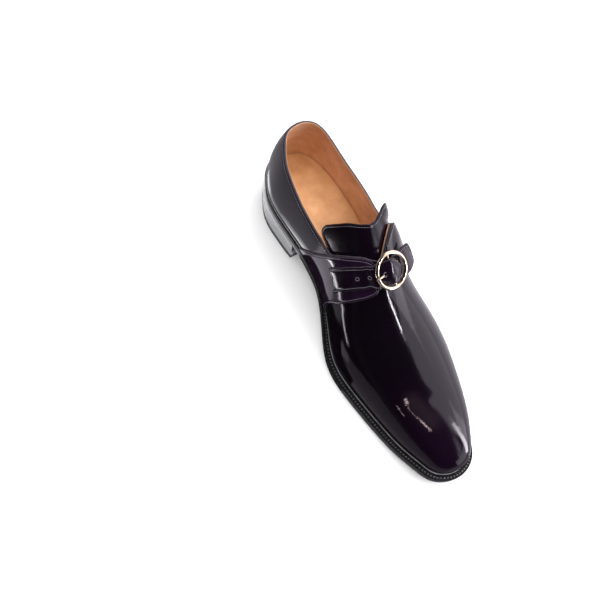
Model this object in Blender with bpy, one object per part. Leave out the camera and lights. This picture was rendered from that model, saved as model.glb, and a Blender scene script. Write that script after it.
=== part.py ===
"""Left single-strap monk shoe, built as the pieces a shoemaker puts together.

Measures are in millimetres in the shoemaker's own directions: "along" runs from
the back of the heel to the toe, "side" from medial (minus) to lateral (plus) and
"height" up from the floor. They are turned into metres when a mesh is made.

The skin of the last is a fan of sections. A section starts on the feather line,
where the upper meets the welt, and climbs to the ridge along the top of the foot.
A "turn" names the section, from 0 at the heel to pi at the toe, minus on the
medial side. A "share" is how far up the section a point lies, from 0 to 1.
"""
import math

import bmesh
import bpy
import numpy as np

MM = 0.001
WELD = 0.00001

# ---- driving sizes ---------------------------------------------------------
LAST_LENGTH = 297.0
ORIGIN_ALONG = 150.7
ORIGIN_SIDE = 0.736

SOLE_THICK = 5.0
WELT_THICK = 2.9
FIT_GAP = 0.3
UPPER_WALL = 2.2
PANEL_LIFT = 0.6
PANEL_THICK = 1.0
STRAP_THICK = 1.9
TONGUE_GAP = 0.9
TONGUE_THICK = 1.6
INSOLE_RISE = 4.5
INSOLE_INSET = 2.6
WELT_TUCK = 2.3
WELT_START = 78.0
HEEL_BREAST = 74.0
HEEL_TAPER = 0.6
TOP_PIECE_THICK = 6.0
TOP_PIECE_TAPER = 0.4

HEEL_CENTRE = 40.0
TOE_CENTRE = 266.0
FAN_SOFTNESS = 26.0
BULGE_HEIGHT = 0.75
FOOT_BLEND = 0.06

FEATHER_RISE = SOLE_THICK + WELT_THICK + 2 * FIT_GAP

RING_CENTRE = (145.7, 4.6, 94.2)
RING_FACE = (0.589, 0.162, 0.792)
RING_RADIUS = 13.8
RING_WIRE = 1.5
BAR_RADIUS = 1.0
BAR_DROP = 0.6
BAR_GAP = 0.25
KEEPER_THICK = 0.8
KEEPER_WIDTH = 8.0
KEEPER_SLOT = 3.0
PRONG_RADIUS = 0.7
PRONG_EYE = 0.55
STRAP_HOLE = 1.5
PRONG_HOLE = 1.8

# Steps of the meshes, and of the slopes worked out by small differences.
NUDGE = 0.0001
LATERAL_SWITCH = 4.0
TOP_SHARE = 0.995
CREST_SHARE = 0.96
EVEN_SECTIONS = 38
SECTION_SPACING = 0.026
UPPER_ROWS = 12
STRAP_PANEL_STEPS = (22, 6)
BUCKLE_PANEL_STEPS = (28, 6)
TONGUE_STEPS = (24, 6)
STRAP_STEPS = (46, 4)
RING_STEPS = 36
RING_FACETS = 10
BAR_STEPS = 8
EYE_STEPS = 16
PRONG_FACETS = 8
PUNCH_FACETS = 12
PUNCH_BELOW = 4.0
PUNCH_ABOVE = 6.0
KEEPER_MOUTH = (70.0, 290.0)
KEEPER_STEPS = 12
SLOT_PAST_BAR = 3.25

# Finishes: base colour, metallic value and roughness.
SOLE_LEATHER = ((0.035, 0.030, 0.032), 0.0, 0.45)
INSOLE_LEATHER = ((0.62, 0.40, 0.22), 0.0, 0.55)
HEEL_LEATHER = ((0.030, 0.026, 0.027), 0.0, 0.35)
HEEL_RUBBER = ((0.020, 0.020, 0.021), 0.0, 0.70)
POLISHED_LEATHER = ((0.050, 0.022, 0.040), 0.0, 0.22)
POLISHED_BRASS = ((0.83, 0.62, 0.30), 1.0, 0.16)


def table(columns, rows):
    """Name the columns of a short table of measures."""
    values = np.array(rows, float)
    return {name: values[:, i] for i, name in enumerate(columns.split())}


# Feather line seen from above: distance out from the centre line of the shoe.
FEATHER = table("along medial lateral", [
    (4, -14.7, 15.2),
    (14, -22.2, 23.4),
    (32, -29.8, 28.6),
    (55, -30.4, 31.1),
    (85, -27.1, 32.1),
    (115, -25.6, 33.8),
    (145, -34.6, 39.8),
    (172, -43.6, 45.8),
    (195, -43.8, 46.0),
    (217, -40.7, 42.4),
    (241, -36.7, 35.7),
    (261, -32.5, 28.1),
    (278, -27.2, 18.9),
    (289, -22.7, 12.0),
])
TOE_POINT = -5.5

# Underside of the outsole: heel seat, arch, flat tread and toe spring.
TREAD = table("along height", [
    (0, 31.8),
    (40, 31.3),
    (72, 29.2),
    (105, 18.0),
    (140, 8.0),
    (170, 1.5),
    (190, 0.0),
    (222, 0.0),
    (250, 1.9),
    (275, 6.2),
    (300, 11.6),
])

# How far the sole edge stands out beyond the feather line.
SOLE_EDGE = table("along medial lateral", [
    (0, 1.0, 1.0),
    (60, 1.5, 1.5),
    (110, 2.7, 2.7),
    (150, 4.2, 3.8),
    (200, 5.4, 4.8),
    (235, 5.4, 4.8),
    (256, 5.4, 3.5),
    (276, 5.4, 3.1),
    (290, 5.4, 3.9),
    (297, 5.4, 5.4),
])

# Ridge of the last: the top of each section.
RIDGE = table("along height side", [
    (40, 144.0, 1.0),
    (90, 131.5, 1.0),
    (115, 115.0, 1.0),
    (130, 101.0, 0.0),
    (145, 87.5, -1.5),
    (160, 75.8, -3.0),
    (180, 65.5, -5.0),
    (200, 58.0, -6.0),
    (220, 52.0, -6.5),
    (240, 47.0, -6.5),
    (260, 42.3, -6.2),
    (280, 37.0, -6.2),
])

# Roundness of each section: side bulge, and how full its wall and its top are.
FULLNESS = table("along medial lateral wall top", [
    (0, 3.6, 5.6, 0.50, 0.66),
    (40, 1.8, 0.8, 0.50, 0.58),
    (80, 5.4, 4.3, 0.50, 0.75),
    (120, 11.6, 3.5, 0.50, 0.72),
    (150, 9.2, 3.6, 0.55, 0.55),
    (180, 6.2, 4.5, 0.60, 0.54),
    (205, 4.6, 4.9, 0.65, 0.55),
    (240, 4.1, 4.9, 0.70, 0.59),
    (270, 3.6, 4.8, 0.75, 0.63),
    (300, 3.0, 3.0, 0.80, 0.66),
])

# How far the lateral facing stands open, and the tongue's corner further still.
GAPE = table("along facing tongue", [
    (84, 0.0, 4.0),
    (92, 0.0, 6.2),
    (98, 0.0, 6.4),
    (103, 0.3, 5.4),
    (106, 0.8, 3.9),
    (108.5, 1.5, 1.5),
    (110.5, 2.3, 0.0),
    (112, 2.9, 0.0),
    (118, 4.2, 0.0),
    (128, 4.2, 0.0),
    (134, 3.0, 0.0),
    (140, 1.4, 0.0),
    (147, 0.3, 0.0),
    (154, 0.0, 0.0),
])
GAPE_FOOT = 0.10
GAPE_FULL = 0.52
GAPE_FADE = 0.70
GAPE_END = 0.94

# Collar and throat: the share at which the upper ends. A share of 1 is closed.
OPENING = table("along medial lateral", [
    (0, 0.440, 0.440),
    (6, 0.436, 0.420),
    (14, 0.426, 0.398),
    (25, 0.410, 0.366),
    (40, 0.388, 0.334),
    (55, 0.366, 0.313),
    (70, 0.354, 0.304),
    (85, 0.361, 0.320),
    (95, 0.380, 0.359),
    (104, 0.402, 0.408),
    (108, 0.424, 0.446),
    (110.5, 0.452, 0.510),
    (112.2, 0.481, 0.630),
    (114.7, 0.526, 0.738),
    (118, 0.588, 0.795),
    (123, 0.685, 0.853),
    (128, 0.800, 0.900),
    (132, 0.880, 0.935),
    (136, 1.000, 1.000),
])
THROAT = 136.0

# Sections that stand closer together along the throat.
THROAT_SECTIONS = (101.0, 105.0, 108.5, 110.5, 112.2, 114.7, 118.0, 121.5, 125.0, 128.5,
                   132.0, THROAT, 142.0, 148.0)

# Strap panel: medial overlay that narrows from the waist up to a rounded tab.
STRAP_PANEL = table("back back_share front front_share", [
    (80.5, 0.004, 134.0, 0.004),
    (92.0, 0.165, 134.0, 0.150),
    (102.0, 0.315, 137.5, 0.300),
    (109.0, 0.426, 142.5, 0.410),
    (116.0, 0.545, 146.5, 0.530),
    (123.0, 0.681, 150.5, 0.660),
    (128.2, 0.798, 153.3, 0.780),
    (131.6, 0.868, 154.0, 0.860),
    (134.4, 0.908, 152.6, 0.905),
    (138.4, 0.932, 148.4, 0.930),
])

# Buckle panel: the lateral facing with its rounded end under the ring.
BUCKLE_PANEL = table("back back_share front front_share", [
    (88.0, 0.004, 134.0, 0.004),
    (94.0, 0.150, 134.5, 0.150),
    (99.5, 0.300, 137.5, 0.300),
    (105.0, 0.408, 142.0, 0.400),
    (110.8, 0.510, 145.5, 0.500),
    (112.5, 0.626, 148.4, 0.590),
    (115.0, 0.733, 151.2, 0.690),
    (118.2, 0.790, 153.0, 0.770),
    (123.0, 0.849, 153.6, 0.840),
    (128.0, 0.896, 152.6, 0.890),
    (133.5, 0.932, 149.5, 0.930),
])

# Tongue: its top edge by how far around the foot it lies, 1 being the ridge.
TONGUE = table("around top", [
    (0.382, 94.0),
    (0.390, 91.0),
    (0.415, 89.6),
    (0.450, 89.8),
    (0.514, 92.8),
    (0.600, 97.4),
    (0.681, 101.3),
    (0.760, 105.4),
    (0.843, 109.2),
    (0.930, 111.6),
    (1.003, 112.7),
    (1.078, 112.2),
    (1.140, 110.1),
    (1.183, 107.2),
    (1.217, 103.9),
    (1.290, 100.3),
    (1.345, 98.9),
    (1.375, 98.6),
    (1.400, 101.1),
])
TONGUE_END = 160.0

# Strap where it is sewn down: its two edges and how high it lies on the upper.
STRAP_SEWN = table("share back front lift", [
    (0.410, 116.5, 133.6, 2.00),
    (0.505, 120.9, 137.0, 2.00),
    (0.613, 125.5, 140.8, 2.00),
    (0.712, 129.4, 144.1, 2.15),
    (0.780, 131.8, 146.2, 2.40),
    (0.845, 133.2, 147.4, 3.60),
])

# Strap through the buckle, measured from the middle of the ring and its face:
# reach towards lateral, its two edges, and the height of its edges and middle.
STRAP_FREE = table("reach back front edge_rise middle_rise", [
    (-13.8, 9.1, -10.3, -4.4, -4.3),
    (-10.5, 9.1, -10.3, -4.3, -2.8),
    (-7.5, 9.1, -10.3, -3.9, -0.4),
    (-4.5, 9.1, -10.3, -1.6, 1.2),
    (0.0, 9.1, -10.3, 1.1, 2.0),
    (4.5, 9.1, -10.3, -1.6, 1.2),
    (7.5, 9.2, -10.3, -3.9, -0.4),
    (10.5, 9.3, -10.4, -4.3, -2.8),
    (13.8, 9.7, -10.7, -4.4, -4.3),
    (18.0, 10.9, -10.9, -4.6, -4.5),
    (21.5, 11.0, -9.0, -4.9, -4.8),
    (24.0, 10.6, -6.9, -5.2, -5.1),
    (25.6, 4.7, -4.2, -5.3, -5.2),
])
STRAP_HOLES = table("share along", [
    (0.712, 137.4),
    (0.860, 141.4),
])

# Prong beyond its eye, measured the same way: straight, then up over the ring.
PRONG = table("reach rise width", [
    (-1.6, -0.6, 0.80),
    (-4.0, -1.1, 1.00),
    (-6.0, -1.0, 1.05),
    (-7.4, 0.1, 1.05),
    (-8.8, 1.4, 1.05),
    (-10.4, 2.2, 1.00),
    (-12.0, 2.6, 0.95),
    (-13.8, 2.6, 0.85),
    (-15.6, 2.3, 0.60),
])
PRONG_HOLE_REACH = -7.9

# Tail of the keeper, where its two sides come together and lie on the panel.
KEEPER_TAIL = table("reach top bottom", [
    (1.2, 1.05, -2.30),
    (4.0, -0.60, -3.20),
    (6.0, -1.80, -3.70),
    (8.0, -2.70, -4.20),
    (10.0, -3.50, -4.90),
    (12.5, -4.50, -5.85),
])


# ---- curves ----------------------------------------------------------------
def hermite(knots, values, slopes, at, rate=False):
    """Evaluate a cubic through the knots, or its rate of change."""
    at = np.asarray(at, float)
    i = np.clip(np.searchsorted(knots, at) - 1, 0, len(knots) - 2)
    width = knots[i + 1] - knots[i]
    u = (at - knots[i]) / width
    rise = values[i + 1] - values[i]
    a = slopes[i] * width
    b = slopes[i + 1] * width
    if rate:
        return (a + u * (6 * rise - 4 * a - 2 * b) + u * u * (3 * a + 3 * b - 6 * rise)) / width
    return values[i] + u * (a + u * (3 * rise - 2 * a - b + u * (a + b - 2 * rise)))


def smooth_slopes(knots, values, closed=False):
    """Slopes of the smoothest curve through the knots, open ended or closed."""
    count = len(knots)
    width = np.diff(knots)
    grade = np.diff(values) / width
    system = np.zeros((count, count))
    right = np.zeros(count)
    for i in range(1, count - 1):
        system[i, i - 1] = width[i]
        system[i, i] = 2 * (width[i - 1] + width[i])
        system[i, i + 1] = width[i - 1]
        right[i] = 3 * (width[i] * grade[i - 1] + width[i - 1] * grade[i])
    if closed:
        system[0, 0] = 1
        system[0, -1] = -1
        system[-1, 0] = 2 * width[-1]
        system[-1, -1] = 2 * width[0]
        system[-1, 1] = width[-1]
        system[-1, -2] = width[0]
        right[-1] = 3 * (width[-1] * grade[0] + width[0] * grade[-1])
    else:
        system[0, :2] = (2, 1)
        system[-1, -2:] = (1, 2)
        right[0] = 3 * grade[0]
        right[-1] = 3 * grade[-1]
    return np.linalg.solve(system, right)


def steady_slopes(knots, values):
    """Slopes of a curve that never overshoots its knots."""
    width = np.diff(knots)
    grade = np.diff(values) / width
    slopes = np.zeros(len(knots))
    slopes[0] = grade[0]
    slopes[-1] = grade[-1]
    for i in range(1, len(knots) - 1):
        if grade[i - 1] * grade[i] > 0:
            before = 2 * width[i] + width[i - 1]
            after = width[i] + 2 * width[i - 1]
            slopes[i] = (before + after) / (before / grade[i - 1] + after / grade[i])
    return slopes


class Curve:
    """A curve through one column of a table."""

    def __init__(self, knots, values, kind="steady"):
        self.knots = np.asarray(knots, float)
        self.values = np.asarray(values, float)
        if kind == "steady":
            self.slopes = steady_slopes(self.knots, self.values)
        else:
            self.slopes = smooth_slopes(self.knots, self.values, kind == "closed")

    def __call__(self, at, rate=False):
        return hermite(self.knots, self.values, self.slopes, at, rate)

    def held(self, at):
        """Value with the ends held level beyond the table."""
        return self(np.clip(at, self.knots[0], self.knots[-1]))


def turn_at(along):
    """Turn of the section whose foot lies this far along the last."""
    return np.arccos(1 - 2 * np.asarray(along, float) / LAST_LENGTH)


def along_at(turn):
    """Distance along the last of a section's foot."""
    return LAST_LENGTH * (1 - np.cos(turn)) / 2


def around_curve(columns, kind="steady", ends=None):
    """Curve over the turn from the medial and lateral columns of a table."""
    turns = turn_at(columns["along"])
    medial, lateral = columns["medial"], columns["lateral"]
    if ends is None:
        first = turns[0] == 0
        knots = np.concatenate([-turns[::-1], turns[1:] if first else turns])
        values = np.concatenate([medial[::-1], lateral[1:] if first else lateral])
        return Curve(knots, values, kind)
    heel, toe = ends
    knots = np.concatenate([[-math.pi], -turns[::-1], [0], turns, [math.pi]])
    values = np.concatenate([[toe], medial[::-1], [heel], lateral, [toe]])
    return Curve(knots, values, kind)


feather_side = around_curve(FEATHER, "closed", ends=(0.0, TOE_POINT))
edge_reach = around_curve(SOLE_EDGE)
gape_width = {name: Curve(GAPE["along"], GAPE[name]) for name in ("facing", "tongue")}
opening_share = around_curve(OPENING)
tread_height = Curve(TREAD["along"], TREAD["height"])
ridge_height = Curve(RIDGE["along"], RIDGE["height"], "smooth")
ridge_side = Curve(RIDGE["along"], RIDGE["side"], "smooth")
fullness = {name: Curve(FULLNESS["along"], FULLNESS[name])
            for name in ("medial", "lateral", "wall", "top")}


# ---- the last --------------------------------------------------------------
def wrapped(turn):
    """Bring a turn back between minus pi and pi."""
    return (np.asarray(turn, float) + math.pi) % (2 * math.pi) - math.pi


def feather_point(turn, reach):
    """Point of the feather line, moved outwards in plan by the reach."""
    along = along_at(turn)
    side = feather_side(wrapped(turn))
    run = along_at(turn + NUDGE) - along_at(turn - NUDGE)
    drift = feather_side(wrapped(turn + NUDGE)) - feather_side(wrapped(turn - NUDGE))
    size = np.hypot(run, drift)
    return along - drift / size * reach, side + run / size * reach


def fan_axis(along):
    """Where on the ridge the section of this foot is hung: it fans at both ends."""
    past_heel = along - HEEL_CENTRE
    axis = HEEL_CENTRE + 0.5 * (past_heel + np.sqrt(past_heel ** 2 + FAN_SOFTNESS ** 2))
    before_toe = TOE_CENTRE - axis
    return TOE_CENTRE - 0.5 * (before_toe + np.sqrt(before_toe ** 2 + FAN_SOFTNESS ** 2))


def eased(value, start, end):
    """Rise smoothly from 0 at the start to 1 at the end."""
    u = np.clip((np.asarray(value, float) - start) / (end - start), 0, 1)
    return u * u * (3 - 2 * u)


def gape(name, turn, along, share):
    """Sideways shift of the lateral facing, or of the tongue beyond that."""
    open_part = eased(share, GAPE_FOOT, GAPE_FULL) * (1 - eased(share, GAPE_FADE, GAPE_END))
    return np.where(turn > 0, gape_width[name].held(along) * open_part, 0.0)


def last_skin(turn, share):
    """Points of the last's skin, the outer face of the upper."""
    turn = np.asarray(turn, float)
    along = along_at(turn)
    side = feather_side(wrapped(turn))
    axis = fan_axis(along)
    top_side = ridge_side(axis)
    top = ridge_height(axis)
    slope = ridge_height(axis, rate=True)
    foot = tread_height(along) + FEATHER_RISE
    lateral = 0.5 * (1 + np.tanh(LATERAL_SWITCH * np.sin(turn)))
    bulge = fullness["medial"](along) * (1 - lateral) + fullness["lateral"](along) * lateral
    half = np.hypot(along - axis, side - top_side)
    out_along = (along - axis) / half
    out_side = (side - top_side) / half
    reach = fullness["top"](along) * half
    left = 1 - share
    weights = (left ** 3, 3 * left ** 2 * share, 3 * left * share ** 2, share ** 3)
    radius = weights[0] * half + weights[1] * (half + bulge) + weights[2] * reach
    wall_top = foot + fullness["wall"](along) * (top - foot) * BULGE_HEIGHT
    height = (weights[0] * foot + weights[1] * wall_top
              + weights[2] * (top + slope * out_along * reach) + weights[3] * top)
    out = out_side * radius + gape("facing", turn, along, share)
    return np.stack([axis + out_along * radius, top_side + out, height], -1)


def skin_normal(turn, share):
    """Outward direction of the skin; level at the feather line."""
    turn, share = np.broadcast_arrays(np.asarray(turn, float), np.asarray(share, float))
    low = np.clip(share, 0, TOP_SHARE)
    across = last_skin(turn + NUDGE, low) - last_skin(turn - NUDGE, low)
    rise = last_skin(turn, low + NUDGE) - last_skin(turn, np.maximum(low - NUDGE, 0))
    normal = np.cross(across, rise)
    normal /= np.linalg.norm(normal, axis=-1, keepdims=True)
    along = along_at(turn)
    axis = fan_axis(along)
    middle = np.stack([axis, ridge_side(axis), tread_height(along)], -1)
    facing = np.sum(normal * (last_skin(turn, low) - middle), axis=-1, keepdims=True)
    normal = normal * np.sign(facing)
    slope = ridge_height(axis, rate=True)
    crest = np.stack([-slope, 0 * slope, 1 + 0 * slope], -1)
    crest /= np.linalg.norm(crest, axis=-1, keepdims=True)
    near_top = np.clip((share - CREST_SHARE) / (1 - CREST_SHARE), 0, 1)[..., None]
    normal = normal * (1 - near_top) + crest * near_top
    lift = np.clip(share / FOOT_BLEND, 0, 1)[..., None]
    normal = normal * np.concatenate([np.ones(lift.shape), np.ones(lift.shape), lift], -1)
    return normal / np.linalg.norm(normal, axis=-1, keepdims=True)


def skin(turn, share, lift=0.0):
    """Points a lift above (plus) or below (minus) the skin of the last."""
    return last_skin(turn, share) + skin_normal(turn, share) * lift


def skin_around(along, around, lift=0.0):
    """As skin, but crossing the ridge: around is 0 to 1 medially, 1 to 2 laterally."""
    along, around = np.broadcast_arrays(np.asarray(along, float), np.asarray(around, float))
    turn = np.where(around <= 1, -1, 1) * turn_at(along)
    share = np.where(around <= 1, around, 2 - around)
    return skin(turn, share, lift)


# ---- meshes ----------------------------------------------------------------
def placed(points):
    """Shoemaker's measures to world metres: the toe looks along -Y."""
    points = np.asarray(points, float)
    world = np.stack([points[..., 1] - ORIGIN_SIDE,
                      ORIGIN_ALONG - points[..., 0],
                      points[..., 2]], -1)
    return world * MM


def material(name, colour, metallic, roughness):
    """Plain Principled material of one piece."""
    made = bpy.data.materials.new(name)
    made.use_nodes = True
    shader = made.node_tree.nodes["Principled BSDF"]
    shader.inputs["Base Color"].default_value = (*colour, 1.0)
    shader.inputs["Metallic"].default_value = metallic
    shader.inputs["Roughness"].default_value = roughness
    return made


def add_mesh(name, points, faces, finish):
    """Make a closed, outward-facing object from points and faces."""
    mesh = bpy.data.meshes.new(name)
    mesh.from_pydata([tuple(p) for p in placed(points)], [], faces)
    shape = bmesh.new()
    shape.from_mesh(mesh)
    bmesh.ops.remove_doubles(shape, verts=shape.verts, dist=WELD)
    bmesh.ops.recalc_face_normals(shape, faces=shape.faces)
    shape.to_mesh(mesh)
    shape.free()
    made = bpy.data.objects.new(name, mesh)
    bpy.context.scene.collection.objects.link(made)
    if finish is not None:
        mesh.materials.append(material(name, *finish))
    return made


def grid_solid(name, lower, upper, finish, closed=False, rim=None):
    """Solid between two matching grids of points.

    closed joins the last row to the first. rim, if given, says for each row
    whether its far end has a rim face; without one the two rows meet there.
    """
    rows, columns = lower.shape[:2]
    points = np.concatenate([lower.reshape(-1, 3), upper.reshape(-1, 3)])
    above = rows * columns
    faces = []
    for i in range(rows if closed else rows - 1):
        k = (i + 1) % rows
        for j in range(columns - 1):
            a, b = i * columns + j, i * columns + j + 1
            c, d = k * columns + j + 1, k * columns + j
            faces.append((a, b, c, d))
            faces.append((above + d, above + c, above + b, above + a))
        for j in (0, columns - 1):
            if j and rim is not None and not (rim[i] or rim[k]):
                continue
            a, d = i * columns + j, k * columns + j
            faces.append((a, d, above + d, above + a))
    if not closed:
        for i in (0, rows - 1):
            for j in range(columns - 1):
                a, b = i * columns + j, i * columns + j + 1
                faces.append((a, b, above + b, above + a))
    return add_mesh(name, points, faces, finish)


def tube(name, path, radii, finish, facets, closed=False):
    """Round bar along a path of points, with a radius at each point."""
    path = np.asarray(path, float)
    if closed:
        ahead = np.roll(path, -1, axis=0) - np.roll(path, 1, axis=0)
    else:
        ahead = np.gradient(path, axis=0)
    ahead /= np.linalg.norm(ahead, axis=1, keepdims=True)
    spread = path.std(axis=0)
    guide = np.eye(3)[int(np.argmin(spread))]
    first = np.cross(ahead, guide)
    first /= np.linalg.norm(first, axis=1, keepdims=True)
    second = np.cross(ahead, first)
    angles = np.arange(facets) * 2 * math.pi / facets
    radii = np.broadcast_to(np.asarray(radii, float), (len(path),))
    rings = (path[:, None]
             + radii[:, None, None] * (np.cos(angles)[None, :, None] * first[:, None]
                                       + np.sin(angles)[None, :, None] * second[:, None]))
    faces = []
    count = len(path)
    for i in range(count if closed else count - 1):
        k = (i + 1) % count
        for j in range(facets):
            m = (j + 1) % facets
            faces.append((i * facets + j, i * facets + m, k * facets + m, k * facets + j))
    if not closed:
        faces.append(tuple(range(facets)))
        faces.append(tuple((count - 1) * facets + j for j in range(facets)))
    return add_mesh(name, rings.reshape(-1, 3), faces, finish)


def combine(target, tool, operation):
    """Join or cut an object with a helper object, which is then removed."""
    change = target.modifiers.new(operation.title(), "BOOLEAN")
    change.operation = operation
    change.solver = "EXACT"
    change.object = tool
    bpy.context.view_layer.update()
    graph = bpy.context.evaluated_depsgraph_get()
    result = bpy.data.meshes.new_from_object(target.evaluated_get(graph))
    target.modifiers.remove(change)
    old = target.data
    target.data = result
    result.name = target.name
    bpy.data.meshes.remove(old)
    bpy.data.objects.remove(tool, do_unlink=True)


# ---- the sole --------------------------------------------------------------
def stations():
    """Turns of the sections that all pieces share, from the heel to the toe.

    They are fanned evenly, with fixed ones at the heel breast, where the heel
    rand meets the welt, and along the throat.
    """
    fixed = turn_at(np.array([HEEL_BREAST, WELT_START - FIT_GAP, WELT_START, *THROAT_SECTIONS]))
    even = np.linspace(0, math.pi, EVEN_SECTIONS + 1)
    kept = [turn for turn in even if np.min(np.abs(fixed - turn)) > SECTION_SPACING]
    return np.sort(np.concatenate([kept, fixed]))


def turns_between(first, last):
    """Shared turns from one distance along the shoe to another."""
    turns = stations()
    along = along_at(turns)
    return turns[(along > first - WELD / MM) & (along < last + WELD / MM)]


def plate(turns, low_reach, high_reach, low, high):
    """Grids of a plate that spans the shoe between its two edges.

    The reaches are measured out from the feather line; low and high are the
    heights of its two faces.
    """
    grids = []
    for reach, level in ((low_reach, low), (high_reach, high)):
        edges = []
        for sign in (-1, 1):
            along, side = feather_point(sign * turns, reach(sign * turns))
            edges.append(np.stack([along, side, level(along)], -1))
        grids.append(np.stack(edges, axis=1))
    return grids


def strip(turns, inner, outer, low, high):
    """Grids of a strip that follows the feather line between two reaches."""
    grids = []
    for level in (low, high):
        edges = []
        for reach in (inner(turns), outer(turns)):
            along, side = feather_point(turns, reach)
            edges.append(np.stack([along, side, level(along)], -1))
        grids.append(np.stack(edges, axis=1))
    return grids


def constant(value):
    """A reach or height that is the same everywhere."""
    return lambda at: np.full(np.shape(at), float(value))


def above_tread(rise):
    """A height that follows the outsole's underside."""
    return lambda along: tread_height(along) + rise


def sole_reach(turn):
    """Reach of the finished sole edge at a turn."""
    return edge_reach(wrapped(turn))


def build_outsole():
    """Full-length outsole."""
    grids = plate(stations(), sole_reach, sole_reach, above_tread(0), above_tread(SOLE_THICK))
    grid_solid("outsole", *grids, SOLE_LEATHER)


def build_welt():
    """Welt from the waist round the toe."""
    half = turns_between(WELT_START, LAST_LENGTH)
    turns = np.concatenate([half, 2 * math.pi - half[-2::-1]])
    low = SOLE_THICK + FIT_GAP
    grids = strip(turns, constant(-WELT_TUCK), sole_reach,
                  above_tread(low), above_tread(low + WELT_THICK))
    grid_solid("welt", *grids, SOLE_LEATHER)


def build_heel_rand():
    """Rand that carries the welt's line on around the heel seat."""
    half = turns_between(0, WELT_START - FIT_GAP)
    turns = np.concatenate([-half[:0:-1], half])
    low = SOLE_THICK + FIT_GAP
    grids = strip(turns, constant(-WELT_TUCK), sole_reach,
                  above_tread(low), above_tread(low + WELT_THICK))
    grid_solid("heel_rand", *grids, SOLE_LEATHER)


def build_insole():
    """Insole inside the upper."""
    inset = constant(-INSOLE_INSET)
    low = SOLE_THICK + FIT_GAP
    grids = plate(stations(), inset, inset, above_tread(low), above_tread(low + INSOLE_RISE))
    grid_solid("insole", *grids, INSOLE_LEATHER)


def build_heel():
    """Heel base under the seat of the outsole, and the top piece it stands on."""
    turns = turns_between(0, HEEL_BREAST)
    base = plate(turns, constant(-HEEL_TAPER), sole_reach,
                 constant(TOP_PIECE_THICK + FIT_GAP), above_tread(-FIT_GAP))
    grid_solid("heel_base", *base, HEEL_LEATHER)
    lift = plate(turns, constant(-HEEL_TAPER - TOP_PIECE_TAPER), constant(-HEEL_TAPER),
                 constant(0), constant(TOP_PIECE_THICK))
    grid_solid("top_piece", *lift, HEEL_RUBBER)


# ---- the upper -------------------------------------------------------------
def collar_share(turn):
    """Share at which the upper ends in each section; 1 where it is closed."""
    limit = float(turn_at(THROAT))
    inside = np.clip(turn, -limit, limit)
    return np.where(np.abs(turn) < limit, np.minimum(opening_share(inside), 1.0), 1.0)


def build_upper():
    """One hollow shell: vamp and quarters with a real wall, open above and below."""
    half = stations()
    turns = np.concatenate([-half[-2:0:-1], half])
    tops = collar_share(turns)
    rise = np.linspace(0, 1, UPPER_ROWS + 1)[None, :] * tops[:, None]
    spread = np.repeat(turns[:, None], UPPER_ROWS + 1, axis=1)
    outer = skin(spread, rise)
    inner = skin(spread, rise, -UPPER_WALL)
    inner[:, 0, 2] = outer[:, 0, 2]
    grid_solid("upper", inner, outer, POLISHED_LEATHER, closed=True, rim=tops < 1)


def panel(name, columns, sign, steps):
    """Overlay between a back edge and a front edge, following the upper."""
    steps_up, steps_across = steps
    rows = np.arange(len(columns["back"]), dtype=float)
    up = np.linspace(0, rows[-1], steps_up + 1)
    edge = {key: Curve(rows, values)(up)[:, None] for key, values in columns.items()}
    across = np.linspace(0, 1, steps_across + 1)[None, :]
    along = edge["back"] * (1 - across) + edge["front"] * across
    share = edge["back_share"] * (1 - across) + edge["front_share"] * across
    turn = sign * turn_at(along)
    lower = skin(turn, share, PANEL_LIFT)
    upper = skin(turn, share, PANEL_LIFT + PANEL_THICK)
    lower[0, :, 2] = upper[0, :, 2]
    grid_solid(name, lower, upper, POLISHED_LEATHER)


def build_tongue():
    """Tongue under the facings, standing up into the collar opening."""
    top = Curve(TONGUE["around"], TONGUE["top"])
    steps_around, steps_down = TONGUE_STEPS
    around = np.linspace(TONGUE["around"][0], TONGUE["around"][-1], steps_around + 1)[:, None]
    down = np.linspace(0, 1, steps_down + 1)[None, :]
    along = top(around) * (1 - down) + TONGUE_END * down
    spread = around + 0 * down
    flare = gape("tongue", spread - 1, along, 2 - spread)
    gap = UPPER_WALL + TONGUE_GAP
    faces = []
    for depth in (gap + TONGUE_THICK, gap):
        points = skin_around(along, spread, -depth)
        points[..., 1] += flare
        faces.append(points)
    grid_solid("tongue", *faces, POLISHED_LEATHER)


# ---- strap and buckle ------------------------------------------------------
def ring_axes():
    """Centre of the ring, then its ways: across to lateral, bar to the heel, face."""
    centre = np.array(RING_CENTRE)
    face = np.array(RING_FACE)
    face = face / np.linalg.norm(face)
    sideways = np.array([0.0, 1.0, 0.0])
    across = sideways - face * np.dot(sideways, face)
    across /= np.linalg.norm(across)
    bar = np.cross(face, across)
    return centre, across, bar, face


def at_ring(reach, bar_way, rise):
    """Point measured from the middle of the ring: across, along the bar, above."""
    centre, across, bar, face = ring_axes()
    parts = [np.asarray(value, float)[..., None] for value in (reach, bar_way, rise)]
    return centre + parts[0] * across + parts[1] * bar + parts[2] * face


def strap_rows():
    """Back edge, middle and front edge of the strap's underside, row by row."""
    sewn = STRAP_SEWN
    middle = (sewn["back"] + sewn["front"]) / 2
    rows = [skin_around(edge, sewn["share"], sewn["lift"][:, None])
            for edge in (sewn["back"], middle, sewn["front"])]
    free = STRAP_FREE
    centre = (free["back"] + free["front"]) / 2
    ends = [at_ring(free["reach"], edge, rise)
            for edge, rise in ((free["back"], free["edge_rise"]),
                               (centre, free["middle_rise"]),
                               (free["front"], free["edge_rise"]))]
    return [np.concatenate([row, end]) for row, end in zip(rows, ends)]


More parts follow.
